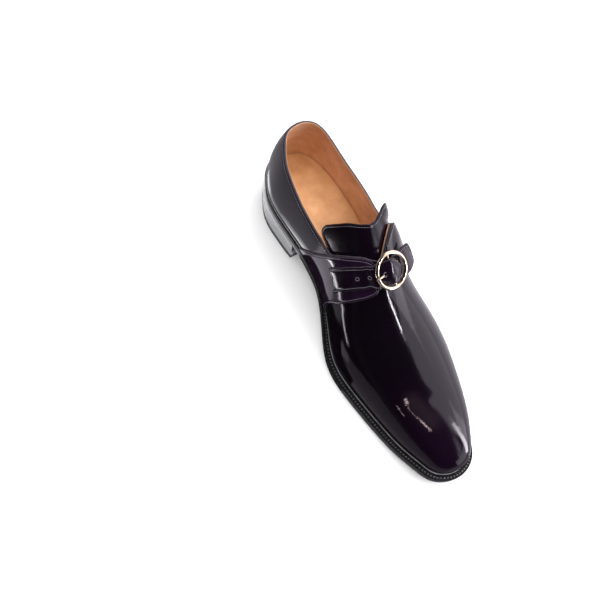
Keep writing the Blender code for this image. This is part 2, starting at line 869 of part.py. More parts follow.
def strap_sheet():
    """Underside of the strap and its upward direction as grids of points."""
    steps_along, steps_across = STRAP_STEPS
    edges = strap_rows()
    run = np.linalg.norm(np.diff(edges[1], axis=0), axis=1)
    knots = np.concatenate([[0.0], np.cumsum(run)])
    at = np.linspace(0, knots[-1], steps_along + 1)
    lines = [np.stack([Curve(knots, edge[:, axis], "smooth")(at) for axis in range(3)], -1)
             for edge in edges]
    v = np.linspace(0, 1, steps_across + 1)[None, :, None]
    weights = (2 * (v - 0.5) * (v - 1), -4 * v * (v - 1), 2 * v * (v - 0.5))
    under = sum(weight * line[:, None] for weight, line in zip(weights, lines))
    ahead = np.gradient(lines[1], axis=0)[:, None]
    sideways = (lines[0] - lines[2])[:, None]
    up = np.cross(sideways, ahead)
    up = up / np.linalg.norm(up, axis=-1, keepdims=True)
    up = up * np.sign(up[..., 2:])
    return under, np.broadcast_to(up, under.shape)


def hole_cutter(base, direction, radius):
    """Round punch through the strap."""
    direction = direction / np.linalg.norm(direction)
    ends = np.array([base - direction * PUNCH_BELOW, base, base + direction * PUNCH_ABOVE])
    return tube("punch", ends, radius, None, PUNCH_FACETS)


def build_strap():
    """Strap sewn to its panel, through the ring to its free end, with its holes."""
    under, up = strap_sheet()
    made = grid_solid("strap", under, under + up * STRAP_THICK, POLISHED_LEATHER)
    middle = under[:, 2]
    for share, along in zip(STRAP_HOLES["share"], STRAP_HOLES["along"]):
        target = skin_around(along, share, STRAP_SEWN["lift"][0])
        nearest = int(np.argmin(np.linalg.norm(middle - target, axis=1)))
        combine(made, hole_cutter(middle[nearest], up[nearest, 2], STRAP_HOLE), "DIFFERENCE")
    face = ring_axes()[3]
    combine(made, hole_cutter(at_ring(PRONG_HOLE_REACH, 0.0, 0.0), face, PRONG_HOLE), "DIFFERENCE")


def ring_tube(name, circle, radius, finish):
    """Closed round wire whose facets stay square to the ring's face."""
    centre, _, _, face = ring_axes()
    outward = circle - centre
    outward /= np.linalg.norm(outward, axis=1, keepdims=True)
    angles = np.arange(RING_FACETS) * 2 * math.pi / RING_FACETS
    rings = (circle[:, None]
             + radius * (np.cos(angles)[None, :, None] * outward[:, None]
                         + np.sin(angles)[None, :, None] * face))
    count, facets = len(circle), len(angles)
    faces = []
    for i in range(count):
        k = (i + 1) % count
        for j in range(facets):
            m = (j + 1) % facets
            faces.append((i * facets + j, i * facets + m, k * facets + m, k * facets + j))
    return add_mesh(name, rings.reshape(-1, 3), faces, finish)


def build_ring():
    """Round ring with a bar across its middle."""
    angles = np.arange(RING_STEPS) * 2 * math.pi / RING_STEPS
    circle = at_ring(RING_RADIUS * np.cos(angles), RING_RADIUS * np.sin(angles), 0 * angles)
    ring = ring_tube("buckle_ring", circle, RING_WIRE, POLISHED_BRASS)
    way = np.linspace(-RING_RADIUS, RING_RADIUS, BAR_STEPS + 1)
    sag = -BAR_DROP * (1 - (way / RING_RADIUS) ** 4)
    bar = tube("bar", at_ring(0 * way, way, sag), BAR_RADIUS, None, RING_FACETS)
    combine(ring, bar, "UNION")


def build_prong():
    """Prong with its eye around the bar and its tip on the ring."""
    eye_radius = BAR_RADIUS + BAR_GAP + PRONG_EYE
    angles = np.arange(EYE_STEPS) * 2 * math.pi / EYE_STEPS
    loop = at_ring(eye_radius * np.cos(angles), 0 * angles,
                   -BAR_DROP + eye_radius * np.sin(angles))
    prong = tube("buckle_prong", loop, PRONG_EYE, POLISHED_BRASS, PRONG_FACETS, closed=True)
    path = at_ring(PRONG["reach"], 0 * PRONG["reach"], PRONG["rise"])
    rod = tube("rod", path, PRONG_RADIUS * PRONG["width"], None, PRONG_FACETS)
    combine(prong, rod, "UNION")


def block(name, reaches, width, rises):
    """Box in the ring's own directions, as a cutter."""
    corners = [(r, w, h) for r in reaches for w in (-width / 2, width / 2) for h in rises]
    points = np.array([at_ring(*corner) for corner in corners])
    quads = [(0, 1, 3, 2), (4, 5, 7, 6), (0, 1, 5, 4), (2, 3, 7, 6), (0, 2, 6, 4), (1, 3, 7, 5)]
    return add_mesh(name, points, quads, None)


def build_keeper():
    """Leather loop around the bar, with a slot for the prong and a sewn-down tail."""
    bore = BAR_RADIUS + BAR_GAP
    shell = bore + KEEPER_THICK
    angles = np.radians(np.linspace(*KEEPER_MOUTH, KEEPER_STEPS))
    tail = KEEPER_TAIL
    reach = np.concatenate([shell * np.cos(angles), tail["reach"], tail["reach"][::-1]])
    rise = np.concatenate([shell * np.sin(angles) - BAR_DROP, tail["bottom"], tail["top"][::-1]])
    count = len(reach)
    half = KEEPER_WIDTH / 2
    sides = [at_ring(reach, np.full(count, way), rise) for way in (-half, half)]
    faces = [tuple(range(count)), tuple(range(count, 2 * count))]
    faces += [(i, (i + 1) % count, count + (i + 1) % count, count + i) for i in range(count)]
    keeper = add_mesh("buckle_keeper", np.concatenate(sides), faces, POLISHED_LEATHER)
    way = KEEPER_WIDTH * np.array([-1.0, 0.0, 1.0])
    hole = tube("hole", at_ring(0 * way, way, 0 * way - BAR_DROP), bore, None, PUNCH_FACETS)
    combine(keeper, hole, "DIFFERENCE")
    slot = block("slot", (-2 * shell, SLOT_PAST_BAR), KEEPER_SLOT, (-2 * shell, 2 * shell))
    combine(keeper, slot, "DIFFERENCE")


def build():
    """Clear the file and build every piece."""
    for old in list(bpy.data.objects):
        bpy.data.objects.remove(old, do_unlink=True)
    build_outsole()
    build_welt()
    build_heel_rand()
    build_heel()
    build_insole()
    build_upper()
    build_tongue()
    panel("strap_panel", STRAP_PANEL, -1, STRAP_PANEL_STEPS)
    panel("buckle_panel", BUCKLE_PANEL, 1, BUCKLE_PANEL_STEPS)
    build_strap()
    build_ring()
    build_prong()
    build_keeper()


build()
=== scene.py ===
"""Looks of a left single-strap monk shoe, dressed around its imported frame.

Measures are in millimetres in the shoemaker's own directions: "along" runs from
the back of the heel to the toe, "side" from medial (minus) to lateral (plus) and
"height" up from the floor. A "turn" names a section of the last, from 0 at the
heel to pi at the toe, minus on the medial side, and a "share" is how far up that
section a point lies, from 0 at the feather line to 1 on the ridge.
"""
import logging
import math
from dataclasses import dataclass
from enum import Enum
from typing import Callable, Sequence

import bmesh
import bpy
import numpy as np
from mathutils import Matrix, Quaternion, Vector, kdtree


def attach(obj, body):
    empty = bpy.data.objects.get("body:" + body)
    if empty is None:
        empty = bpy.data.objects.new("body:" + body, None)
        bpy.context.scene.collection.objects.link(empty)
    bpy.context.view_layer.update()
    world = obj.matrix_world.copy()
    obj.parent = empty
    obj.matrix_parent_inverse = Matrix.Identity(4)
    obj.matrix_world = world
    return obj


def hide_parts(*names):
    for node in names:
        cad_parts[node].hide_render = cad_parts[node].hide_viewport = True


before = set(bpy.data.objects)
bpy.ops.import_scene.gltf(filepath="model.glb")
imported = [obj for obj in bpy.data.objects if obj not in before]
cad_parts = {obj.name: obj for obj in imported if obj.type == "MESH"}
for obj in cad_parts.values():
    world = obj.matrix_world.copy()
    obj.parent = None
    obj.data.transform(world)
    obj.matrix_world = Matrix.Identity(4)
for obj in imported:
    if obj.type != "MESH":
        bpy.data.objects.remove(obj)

Array = np.ndarray
Colour = tuple[float, float, float]
Place = tuple[float, float, float]
Table = dict[str, Array]
Measure = Callable[[Array], Array]
Material = bpy.types.Material
Piece = bpy.types.Object
Socket = bpy.types.NodeSocket

LOG = logging.getLogger("monk_shoe")
BODY = "root"
MM = 0.001
WELD = 0.000004          # metres within which points are joined
BORDER_STEP = 0.35       # step of the points along a sheet's border
FAR_OFF = 99.0           # a distance past which nothing is shaped
THREAD_PROUD = 0.06      # how far a stitch's middle stands out of its groove
STITCH_SIDES = 6
STITCH_LOOPS = ((-0.5, 0.25, -0.6), (-0.36, 0.85, -0.12), (0.0, 1.0, 0.12),
                (0.36, 0.85, -0.12), (0.5, 0.25, -0.6))    # share of length, swell, sink

# ---- the shoe's own sizes, as its solids have them ---------------------------
LAST_LENGTH = 297.0
ORIGIN_ALONG = 150.7     # along and side of the shared frame's origin
ORIGIN_SIDE = 0.736
SOLE_THICK = 5.0
WELT_THICK = 2.9
FIT_GAP = 0.3
FEATHER_RISE = SOLE_THICK + WELT_THICK + 2 * FIT_GAP
HEEL_CENTRE = 40.0       # ends of the ridge that the sections fan out from
TOE_CENTRE = 266.0
FAN_SOFTNESS = 26.0
BULGE_HEIGHT = 0.75
FOOT_BLEND = 0.06        # share below which the outward directions are level
LATERAL_SWITCH = 4.0
CREST_SHARE = 0.96       # share above which they turn to the ridge's own
TOE_POINT = -5.5
THROAT = 136.0           # where the collar opening ends
HEEL_BREAST = 74.0
WELT_START = 78.0


def table(columns: str, rows: Sequence[Sequence[float]]) -> Table:
    """Name the columns of a short table of measures.

    Args:
        columns: The column names, parted by spaces.
        rows: One row of numbers for each line of the table.

    Returns:
        Each column by its name.
    """
    values = np.array(rows, float)
    return {name: values[:, i] for i, name in enumerate(columns.split())}


FEATHER = table("along medial lateral", [
    (4, -14.7, 15.2), (14, -22.2, 23.4), (32, -29.8, 28.6), (55, -30.4, 31.1),
    (85, -27.1, 32.1), (115, -25.6, 33.8), (145, -34.6, 39.8), (172, -43.6, 45.8),
    (195, -43.8, 46), (217, -40.7, 42.4), (241, -36.7, 35.7), (261, -32.5, 28.1),
    (278, -27.2, 18.9), (289, -22.7, 12),
])
TREAD = table("along height", [
    (0, 31.8), (40, 31.3), (72, 29.2), (105, 18), (140, 8), (170, 1.5),
    (190, 0), (222, 0), (250, 1.9), (275, 6.2), (300, 11.6),
])
SOLE_EDGE = table("along medial lateral", [
    (0, 1, 1), (60, 1.5, 1.5), (110, 2.7, 2.7), (150, 4.2, 3.8), (200, 5.4, 4.8),
    (235, 5.4, 4.8), (256, 5.4, 3.5), (276, 5.4, 3.1), (290, 5.4, 3.9), (297, 5.4, 5.4),
])
RIDGE = table("along height side", [
    (40, 144, 1), (90, 131.5, 1), (115, 115, 1), (130, 101, 0),
    (145, 87.5, -1.5), (160, 75.8, -3), (180, 65.5, -5), (200, 58, -6),
    (220, 52, -6.5), (240, 47, -6.5), (260, 42.3, -6.2), (280, 37, -6.2),
])
FULLNESS = table("along medial lateral wall top", [
    (0, 3.6, 5.6, 0.5, 0.66), (40, 1.8, 0.8, 0.5, 0.58), (80, 5.4, 4.3, 0.5, 0.75),
    (120, 11.6, 3.5, 0.5, 0.72), (150, 9.2, 3.6, 0.55, 0.55), (180, 6.2, 4.5, 0.6, 0.54),
    (205, 4.6, 4.9, 0.65, 0.55), (240, 4.1, 4.9, 0.7, 0.59), (270, 3.6, 4.8, 0.75, 0.63),
    (300, 3, 3, 0.8, 0.66),
])
GAPE = table("along facing tongue", [
    (84, 0, 4), (92, 0, 6.2), (98, 0, 6.4), (103, 0.3, 5.4), (106, 0.8, 3.9),
    (108.5, 1.5, 1.5), (110.5, 2.3, 0), (112, 2.9, 0), (118, 4.2, 0), (128, 4.2, 0),
    (134, 3, 0), (140, 1.4, 0), (147, 0.3, 0), (154, 0, 0),
])
GAPE_RISE = (0.1, 0.52)
GAPE_FALL = (0.7, 0.94)
OPENING = table("along medial lateral", [
    (0, 0.44, 0.44), (6, 0.436, 0.42), (14, 0.426, 0.398), (25, 0.41, 0.366),
    (40, 0.388, 0.334), (55, 0.366, 0.313), (70, 0.354, 0.304), (85, 0.361, 0.32),
    (95, 0.38, 0.359), (104, 0.402, 0.408), (108, 0.424, 0.446), (110.5, 0.452, 0.51),
    (112.2, 0.481, 0.63), (114.7, 0.526, 0.738), (118, 0.588, 0.795), (123, 0.685, 0.853),
    (128, 0.8, 0.9), (132, 0.88, 0.935), (136, 1, 1),
])
STRAP_PANEL = table("back back_share front front_share", [
    (80.5, 0.004, 134, 0.004), (92, 0.165, 134, 0.15), (102, 0.315, 137.5, 0.3),
    (109, 0.426, 142.5, 0.41), (116, 0.545, 146.5, 0.53), (123, 0.681, 150.5, 0.66),
    (128.2, 0.798, 153.3, 0.78), (131.6, 0.868, 154, 0.86), (134.4, 0.908, 152.6, 0.905),
    (138.4, 0.932, 148.4, 0.93),
])
BUCKLE_PANEL = table("back back_share front front_share", [
    (88, 0.004, 134, 0.004), (94, 0.15, 134.5, 0.15), (99.5, 0.3, 137.5, 0.3),
    (105, 0.408, 142, 0.4), (110.8, 0.51, 145.5, 0.5), (112.5, 0.626, 148.4, 0.59),
    (115, 0.733, 151.2, 0.69), (118.2, 0.79, 153, 0.77), (123, 0.849, 153.6, 0.84),
    (128, 0.896, 152.6, 0.89), (133.5, 0.932, 149.5, 0.93),
])
TONGUE = table("around top", [
    (0.382, 94), (0.39, 91), (0.415, 89.6), (0.45, 89.8), (0.514, 92.8), (0.6, 97.4),
    (0.681, 101.3), (0.76, 105.4), (0.843, 109.2), (0.93, 111.6), (1.003, 112.7),
    (1.078, 112.2), (1.14, 110.1), (1.183, 107.2), (1.217, 103.9), (1.29, 100.3),
    (1.345, 98.9), (1.375, 98.6), (1.4, 101.1),
])
STRAP_SEWN = table("share back front lift", [
    (0.41, 116.5, 133.6, 2), (0.505, 120.9, 137, 2), (0.613, 125.5, 140.8, 2),
    (0.712, 129.4, 144.1, 2.15), (0.78, 131.8, 146.2, 2.4), (0.845, 133.2, 147.4, 3.6),
])
STRAP_FREE = table("reach back front edge_rise middle_rise", [
    (-13.8, 9.1, -10.3, -4.4, -4.3), (-10.5, 9.1, -10.3, -4.3, -2.8), (-7.5, 9.1, -10.3, -3.9, -0.4),
    (-4.5, 9.1, -10.3, -1.6, 1.2), (0, 9.1, -10.3, 1.1, 2), (4.5, 9.1, -10.3, -1.6, 1.2),
    (7.5, 9.2, -10.3, -3.9, -0.4), (10.5, 9.3, -10.4, -4.3, -2.8), (13.8, 9.7, -10.7, -4.4, -4.3),
    (18, 10.9, -10.9, -4.6, -4.5), (21.5, 11, -9, -4.9, -4.8), (24, 10.6, -6.9, -5.2, -5.1),
    (25.6, 4.7, -4.2, -5.3, -5.2),
])
STRAP_HOLES = table("share along", [(0.712, 137.4), (0.86, 141.4)])
PRONG = table("reach rise width", [
    (-1.6, -0.6, 0.8), (-4, -1.1, 1), (-6, -1, 1.05), (-7.4, 0.1, 1.05),
    (-8.8, 1.4, 1.05), (-10.4, 2.2, 1), (-12, 2.6, 0.95), (-13.8, 2.6, 0.85),
    (-15.6, 2.3, 0.6),
])

SOLE_SHAPE = ((-2.2, 0), (-0.9, 0), (-0.35, 0.14), (-0.08, 0.5), (0, 1.2), (0.06, 2.5), (0, 3.8),
              (-0.08, 4.4), (-0.35, 4.85), (-0.9, 5), (-2.2, 5))
WELT_SHAPE = table("start share out rise dent", [
    (-2.3, 0, 0, 0, 0), (0, 1, -0.35, 0, 0), (0, 1, -0.05, 0.2, 0), (0, 1, 0, 0.7, 0),
    (0, 1, 0, 2.1, 0), (0, 1, -0.1, 2.55, 0), (0, 1, -0.4, 2.85, 0.3), (0, 1, -0.8, 2.9, 1),
    (0, 1, -1.2, 2.9, 1), (0, 0.45, -1.2, 2.86, 0.5), (0, 0.2, -1.2, 2.8, 0),
    (0, 0, -1.2, 2.62, 0), (-2.3, 0, 0, 2.62, 0),
])
SOCK_SHAPE = ((-2.8, 0.1), (-2.6, 0.6), (-2.6, 3.9), (-2.8, 4.3), (-3.4, 4.5))
TOP_PIECE_SHAPE = ((-1.4, 0), (-1.05, 0.12), (-1, 0.5), (-0.8, 3), (-0.62, 5.5), (-0.7, 5.9),
                   (-1, 6))


# ---- curves ------------------------------------------------------------------
class Fit(Enum):
    """How a curve runs through its knots."""

    STEADY = "never overshoots a knot"
    SMOOTH = "smoothest, open ended"
    CLOSED = "smoothest, joined end to end"


class Curve:
    """A cubic through one column of a table."""

    def __init__(self, knots: Sequence[float], values: Sequence[float], fit: Fit = Fit.STEADY) -> None:
        """Work out the slope at every knot.

        Args:
            knots: Where the values hold, rising.
            values: What the curve passes through.
            fit: How the curve runs between them.
        """
        self.knots = np.asarray(knots, float)
        self.values = np.asarray(values, float)
        self.slopes = self._steady() if fit is Fit.STEADY else self._smooth(fit is Fit.CLOSED)

    def _steady(self) -> Array:
        """Slopes that never overshoot the knots."""
        width = np.diff(self.knots)
        grade = np.diff(self.values) / width
        slopes = np.concatenate([grade[:1], np.zeros(len(grade) - 1), grade[-1:]])
        for i in range(1, len(grade)):
            if grade[i - 1] * grade[i] > 0:
                before = 2 * width[i] + width[i - 1]
                after = width[i] + 2 * width[i - 1]
                slopes[i] = (before + after) / (before / grade[i - 1] + after / grade[i])
        return slopes

    def _smooth(self, closed: bool) -> Array:
        """Slopes of the smoothest curve, joined end to end if closed."""
        count = len(self.knots)
        width = np.diff(self.knots)
        grade = np.diff(self.values) / width
        system = np.zeros((count, count))
        right = np.zeros(count)
        for i in range(1, count - 1):
            system[i, i - 1:i + 2] = (width[i], 2 * (width[i - 1] + width[i]), width[i - 1])
            right[i] = 3 * (width[i] * grade[i - 1] + width[i - 1] * grade[i])
        if closed:
            system[0, 0], system[0, -1] = 1, -1
            system[-1, 0], system[-1, -1] = 2 * width[-1], 2 * width[0]
            system[-1, 1], system[-1, -2] = width[-1], width[0]
            right[-1] = 3 * (width[-1] * grade[0] + width[0] * grade[-1])
        else:
            system[0, :2], system[-1, -2:] = (2, 1), (1, 2)
            right[0], right[-1] = 3 * grade[0], 3 * grade[-1]
        return np.linalg.solve(system, right)

    def __call__(self, at: Array, rate: bool = False) -> Array:
        """Value of the curve, or its rate of change."""
        at = np.asarray(at, float)
        i = np.clip(np.searchsorted(self.knots, at) - 1, 0, len(self.knots) - 2)
        width = self.knots[i + 1] - self.knots[i]
        u = (at - self.knots[i]) / width
        rise = self.values[i + 1] - self.values[i]
        a, b = self.slopes[i] * width, self.slopes[i + 1] * width
        if rate:
            return (a + u * (6 * rise - 4 * a - 2 * b) + u * u * (3 * a + 3 * b - 6 * rise)) / width
        return self.values[i] + u * (a + u * (3 * rise - 2 * a - b + u * (a + b - 2 * rise)))

    def held(self, at: Array) -> Array:
        """Value with the ends held level beyond the table."""
        return self(np.clip(at, self.knots[0], self.knots[-1]))


def turn_at(along: Array) -> Array:
    """Turn of the section whose foot lies this far along the last."""
    return np.arccos(np.clip(1 - 2 * along / LAST_LENGTH, -1, 1))


def along_at(turn: Array) -> Array:
    """Distance along the last of a section's foot."""
    return LAST_LENGTH * (1 - np.cos(turn)) / 2


def wrapped(turn: Array) -> Array:
    """Bring a turn back between minus pi and pi."""
    return (turn + math.pi) % (2 * math.pi) - math.pi


def eased(value: Array, start: float, end: float) -> Array:
    """Rise smoothly from 0 at the start to 1 at the end."""
    u = np.clip((value - start) / (end - start), 0, 1)
    return u * u * (3 - 2 * u)


def around_curve(columns: Table, fit: Fit = Fit.STEADY,
                 ends: tuple[float, float] | None = None) -> Curve:
    """Curve over the turn from the medial and lateral columns of a table.

    Args:
        columns: A table with along, medial and lateral columns.
        fit: How the curve runs through them.
        ends: Values at the back of the heel and at the toe, if the table has none.

    Returns:
        The curve from minus pi to pi.
    """
    turns = turn_at(columns["along"])
    medial, lateral = columns["medial"], columns["lateral"]
    if ends is None:
        skip = 1 if turns[0] == 0 else 0
        return Curve(np.concatenate([-turns[::-1], turns[skip:]]),
                     np.concatenate([medial[::-1], lateral[skip:]]), fit)
    heel, toe = ends
    return Curve(np.concatenate([[-math.pi], -turns[::-1], [0], turns, [math.pi]]),
                 np.concatenate([[toe], medial[::-1], [heel], lateral, [toe]]), fit)


def unit(vectors: Array) -> Array:
    """Vectors scaled to length one."""
    return vectors / np.maximum(np.linalg.norm(vectors, axis=-1, keepdims=True), 1e-12)


def headings(path: Array, closed: bool = False) -> Array:
    """Directions in which a path runs at its points."""
    return unit(np.roll(path, -1, axis=0) - np.roll(path, 1, axis=0) if closed
                else np.gradient(path, axis=0))


def ring_angles(count: int) -> Array:
    """Angles of this many places spread evenly round a circle."""
    return np.arange(count) * 2 * math.pi / count


def run_along(path: Array) -> Array:
    """Distance run up to each point of a path, or of each row of a grid."""
    steps = np.linalg.norm(np.diff(path, axis=-2), axis=-1)
    return np.concatenate([np.zeros((*steps.shape[:-1], 1)), np.cumsum(steps, axis=-1)], axis=-1)


# ---- the last ----------------------------------------------------------------
@dataclass
class Last:
    """The last's skin: a fan of sections, sampled once, relaxed and read by cubics.

    Attributes:
        turn_count: Samples once around the last, and share_count up each section.
        soften_turn: Softening along the shoe in samples, and soften_share up the sections.
        pad: Samples carried on below the feather line and over the ridge.
    """

    turn_count: int = 720
    share_count: int = 160
    soften_turn: float = 5.0
    soften_share: float = 3.0
    pad: int = 12

    def __post_init__(self) -> None:
        """Read the tables and sample the skin."""
        self.feather_side = around_curve(FEATHER, Fit.CLOSED, (0.0, TOE_POINT))
        self.edge_reach = around_curve(SOLE_EDGE)
        self.opening = around_curve(OPENING)
        self.tread = Curve(TREAD["along"], TREAD["height"])
        self.ridge_height = Curve(RIDGE["along"], RIDGE["height"], Fit.SMOOTH)
        self.ridge_side = Curve(RIDGE["along"], RIDGE["side"], Fit.SMOOTH)
        self.full = {key: Curve(FULLNESS["along"], FULLNESS[key])
                     for key in ("medial", "lateral", "wall", "top")}
        self.gapes = {key: Curve(GAPE["along"], GAPE[key]) for key in ("facing", "tongue")}
        turns = ring_angles(self.turn_count) - math.pi
        shares = np.linspace(0, 1, self.share_count + 1)
        self._sample(turns, shares)

    def fan_axis(self, along: Array) -> Array:
        """Where on the ridge the section of this foot is hung."""
        past = along - HEEL_CENTRE
        axis = HEEL_CENTRE + 0.5 * (past + np.sqrt(past ** 2 + FAN_SOFTNESS ** 2))
        before = TOE_CENTRE - axis
        return TOE_CENTRE - 0.5 * (before + np.sqrt(before ** 2 + FAN_SOFTNESS ** 2))

    def gape(self, kind: str, turn: Array, along: Array, share: Array) -> Array:
        """Sideways shift of the lateral facing, or of the tongue beyond it."""
        part = eased(share, *GAPE_RISE) * (1 - eased(share, *GAPE_FALL))
        return np.where(turn > 0, self.gapes[kind].held(along) * part, 0.0)

    def _raw(self, turn: Array, share: Array) -> Array:
        """Points of the skin straight from the tables."""
        along = along_at(turn)
        side = self.feather_side(wrapped(turn))
        axis = self.fan_axis(along)
        middle, top = self.ridge_side(axis), self.ridge_height(axis)
        slope = self.ridge_height(axis, rate=True)
        foot = self.tread(along) + FEATHER_RISE
        lateral = 0.5 * (1 + np.tanh(LATERAL_SWITCH * np.sin(turn)))
        bulge = self.full["medial"](along) * (1 - lateral) + self.full["lateral"](along) * lateral
        half = np.hypot(along - axis, side - middle)
        out_along, out_side = (along - axis) / half, (side - middle) / half
        reach = self.full["top"](along) * half
        left = 1 - share
        weights = (left ** 3, 3 * left ** 2 * share, 3 * left * share ** 2, share ** 3)
        radius = weights[0] * half + weights[1] * (half + bulge) + weights[2] * reach
        wall_top = foot + self.full["wall"](along) * (top - foot) * BULGE_HEIGHT
        height = (weights[0] * foot + weights[1] * wall_top
                  + weights[2] * (top + slope * out_along * reach) + weights[3] * top)
        across = middle + out_side * radius + self.gape("facing", turn, along, share)
        return np.stack([axis + out_along * radius, across, height], -1)

    def _extended(self, values: Array) -> Array:
        """Samples carried on below the feather line and over the ridge."""
        count = len(values)
        opposite = values[(count - np.arange(count)) % count]
        below = 2 * values[:, :1] - values[:, self.pad:0:-1]
        return np.concatenate([below, values, opposite[:, -2:-2 - self.pad:-1]], axis=1)

    def _relaxed(self, values: Array) -> Array:
        """Samples softened a little both ways."""
        wide = self._extended(values)
        steps = np.arange(-self.pad, self.pad + 1)
        for axis, size in ((1, self.soften_share), (0, self.soften_turn)):
            weights = np.exp(-0.5 * (steps / size) ** 2)
            weights /= weights.sum()
            wide = sum(w * np.roll(wide, s, axis=axis) for w, s in zip(weights, steps))
        kept = wide[:, self.pad:self.pad + values.shape[1]]
        near_foot = np.exp(-0.5 * (np.arange(kept.shape[1]) / self.soften_share) ** 2)[None, :, None]
        return kept * (1 - near_foot) + values * near_foot

    def _sample(self, turns: Array, shares: Array) -> None:
        """Fill the grids of points and outward directions."""
        spread = np.meshgrid(turns, shares, indexing="ij")
        points = self._relaxed(self._raw(*spread))
        wide = self._extended(points)
        near = slice(self.pad, self.pad + len(shares))
        run = np.roll(wide, -1, axis=0) - np.roll(wide, 1, axis=0)
        climb = np.roll(wide, -1, axis=1) - np.roll(wide, 1, axis=1)
        normals = unit(np.cross(run, climb))[:, near]
        axis = self.fan_axis(along_at(turns))
        middle = np.stack([axis, self.ridge_side(axis), self.tread(along_at(turns))], -1)[:, None]
        normals = normals * np.sign(np.sum(normals * (points - middle), axis=-1, keepdims=True))
        slope = self.ridge_height(axis, rate=True)
        crest = unit(np.stack([-slope, 0 * slope, 1 + 0 * slope], -1))[:, None]
        near_top = np.clip((shares - CREST_SHARE) / (1 - CREST_SHARE), 0, 1)[None, :, None]
        normals = normals * (1 - near_top) + crest * near_top
        lift = np.clip(shares / FOOT_BLEND, 0, 1)[None, :] + np.zeros(normals.shape[:2])
        normals[..., 2] *= lift
        self._points = self._extended(points)
        self._normals = self._extended(unit(normals))

    def _read(self, grid: Array, turn: Array, share: Array) -> Array:
        """Cubic reading of a grid of samples."""
        row = (turn + math.pi) / (2 * math.pi) * self.turn_count
        column = share * self.share_count + self.pad
        row_floor, column_floor = np.floor(row).astype(int), np.floor(column).astype(int)
        row_weights = self._cubic(row - row_floor)
        column_weights = self._cubic(column - column_floor)
        total = np.zeros((*row.shape, 3))
        for i in range(4):
            rows = (row_floor + i - 1) % self.turn_count
            for j in range(4):
                weight = row_weights[i] * column_weights[j]
                total += weight[..., None] * grid[rows, column_floor + j - 1]
        return total

    @staticmethod
    def _cubic(t: Array) -> tuple[Array, Array, Array, Array]:
        """Weights of the four samples around a place."""
        return (-0.5 * t + t ** 2 - 0.5 * t ** 3, 1 - 2.5 * t ** 2 + 1.5 * t ** 3,
                0.5 * t + 2 * t ** 2 - 1.5 * t ** 3, -0.5 * t ** 2 + 0.5 * t ** 3)

    def skin(self, turn: Array, share: Array, lift: Array = 0.0) -> Array:
        """Points a lift above (plus) or below (minus) the skin."""
        turn, share, lift = np.broadcast_arrays(*(np.asarray(v, float) for v in (turn, share, lift)))
        return self._read(self._points, turn, share) + self.normal(turn, share) * lift[..., None]

    def normal(self, turn: Array, share: Array) -> Array:
        """Outward directions of the skin."""
        turn, share = np.broadcast_arrays(np.asarray(turn, float), np.asarray(share, float))
        return unit(self._read(self._normals, turn, share))

    @staticmethod
    def crossed(along: Array, around: Array) -> tuple[Array, Array]:
        """Turn and share of a place counted over the ridge: 0 to 1 medially, 1 to 2 laterally."""
        along, around = np.broadcast_arrays(np.asarray(along, float), np.asarray(around, float))
        turn = np.where(around <= 1, -1, 1) * turn_at(along)
        return turn, np.where(around <= 1, around, 2 - around)

    def collar_share(self, turn: Array) -> Array:
        """Share at which the upper ends in each section; 1 where it is closed."""
        limit = float(turn_at(THROAT))
        inside = np.clip(turn, -limit, limit)
        open_share = np.minimum(self.opening(inside), 1.0)
        return np.where(np.abs(turn) < limit, open_share, 1.0)

    def feather(self, turn: Array, reach: Array) -> Array:
        """Plan points of the feather line moved outwards by the reach."""
        nudge = 1e-4
        run = along_at(turn + nudge) - along_at(turn - nudge)
        drift = self.feather_side(wrapped(turn + nudge)) - self.feather_side(wrapped(turn - nudge))
        size = np.hypot(run, drift)
        along = along_at(turn) - drift / size * reach
        return np.stack([along, self.feather_side(wrapped(turn)) + run / size * reach], -1)

    def sole_reach(self, turn: Array) -> Array:
        """Reach of the finished sole edge at a turn."""
        return self.edge_reach(wrapped(turn))


LAST = Last()


# ---- meshes ------------------------------------------------------------------
def placed(points: Array) -> Array:
    """Shoemaker's measures to world metres: the toe looks along -Y."""
    points = np.asarray(points, float)
    world = np.stack([points[..., 1] - ORIGIN_SIDE, ORIGIN_ALONG - points[..., 0], points[..., 2]], -1)
    return world * MM


def stood(name: str, data: bpy.types.ID) -> Piece:
    """Make an object of a mesh, a light or a camera and put it in the scene."""
    thing = bpy.data.objects.new(name, data)
    bpy.context.scene.collection.objects.link(thing)
    return thing


def new_mesh(name: str, points: Sequence[Place], faces: Sequence[Sequence[int]],
             finishes: Sequence[Material] = ()) -> bpy.types.Mesh:
    """Make a mesh of points in metres, wearing some finishes."""
    mesh = bpy.data.meshes.new(name)
    mesh.from_pydata(points, [], faces)
    for finish in finishes:
        mesh.materials.append(finish)
    return mesh


def clean(mesh: bpy.types.Mesh) -> None:
    """Weld a mesh's doubled points, drop its loose ones and turn its faces outwards."""
    shape = bmesh.new()
    shape.from_mesh(mesh)
    bmesh.ops.remove_doubles(shape, verts=shape.verts, dist=WELD)
    loose = [vert for vert in shape.verts if not vert.link_faces]
    bmesh.ops.delete(shape, geom=loose, context="VERTS")
    bmesh.ops.recalc_face_normals(shape, faces=shape.faces)
    shape.to_mesh(mesh)
    shape.free()


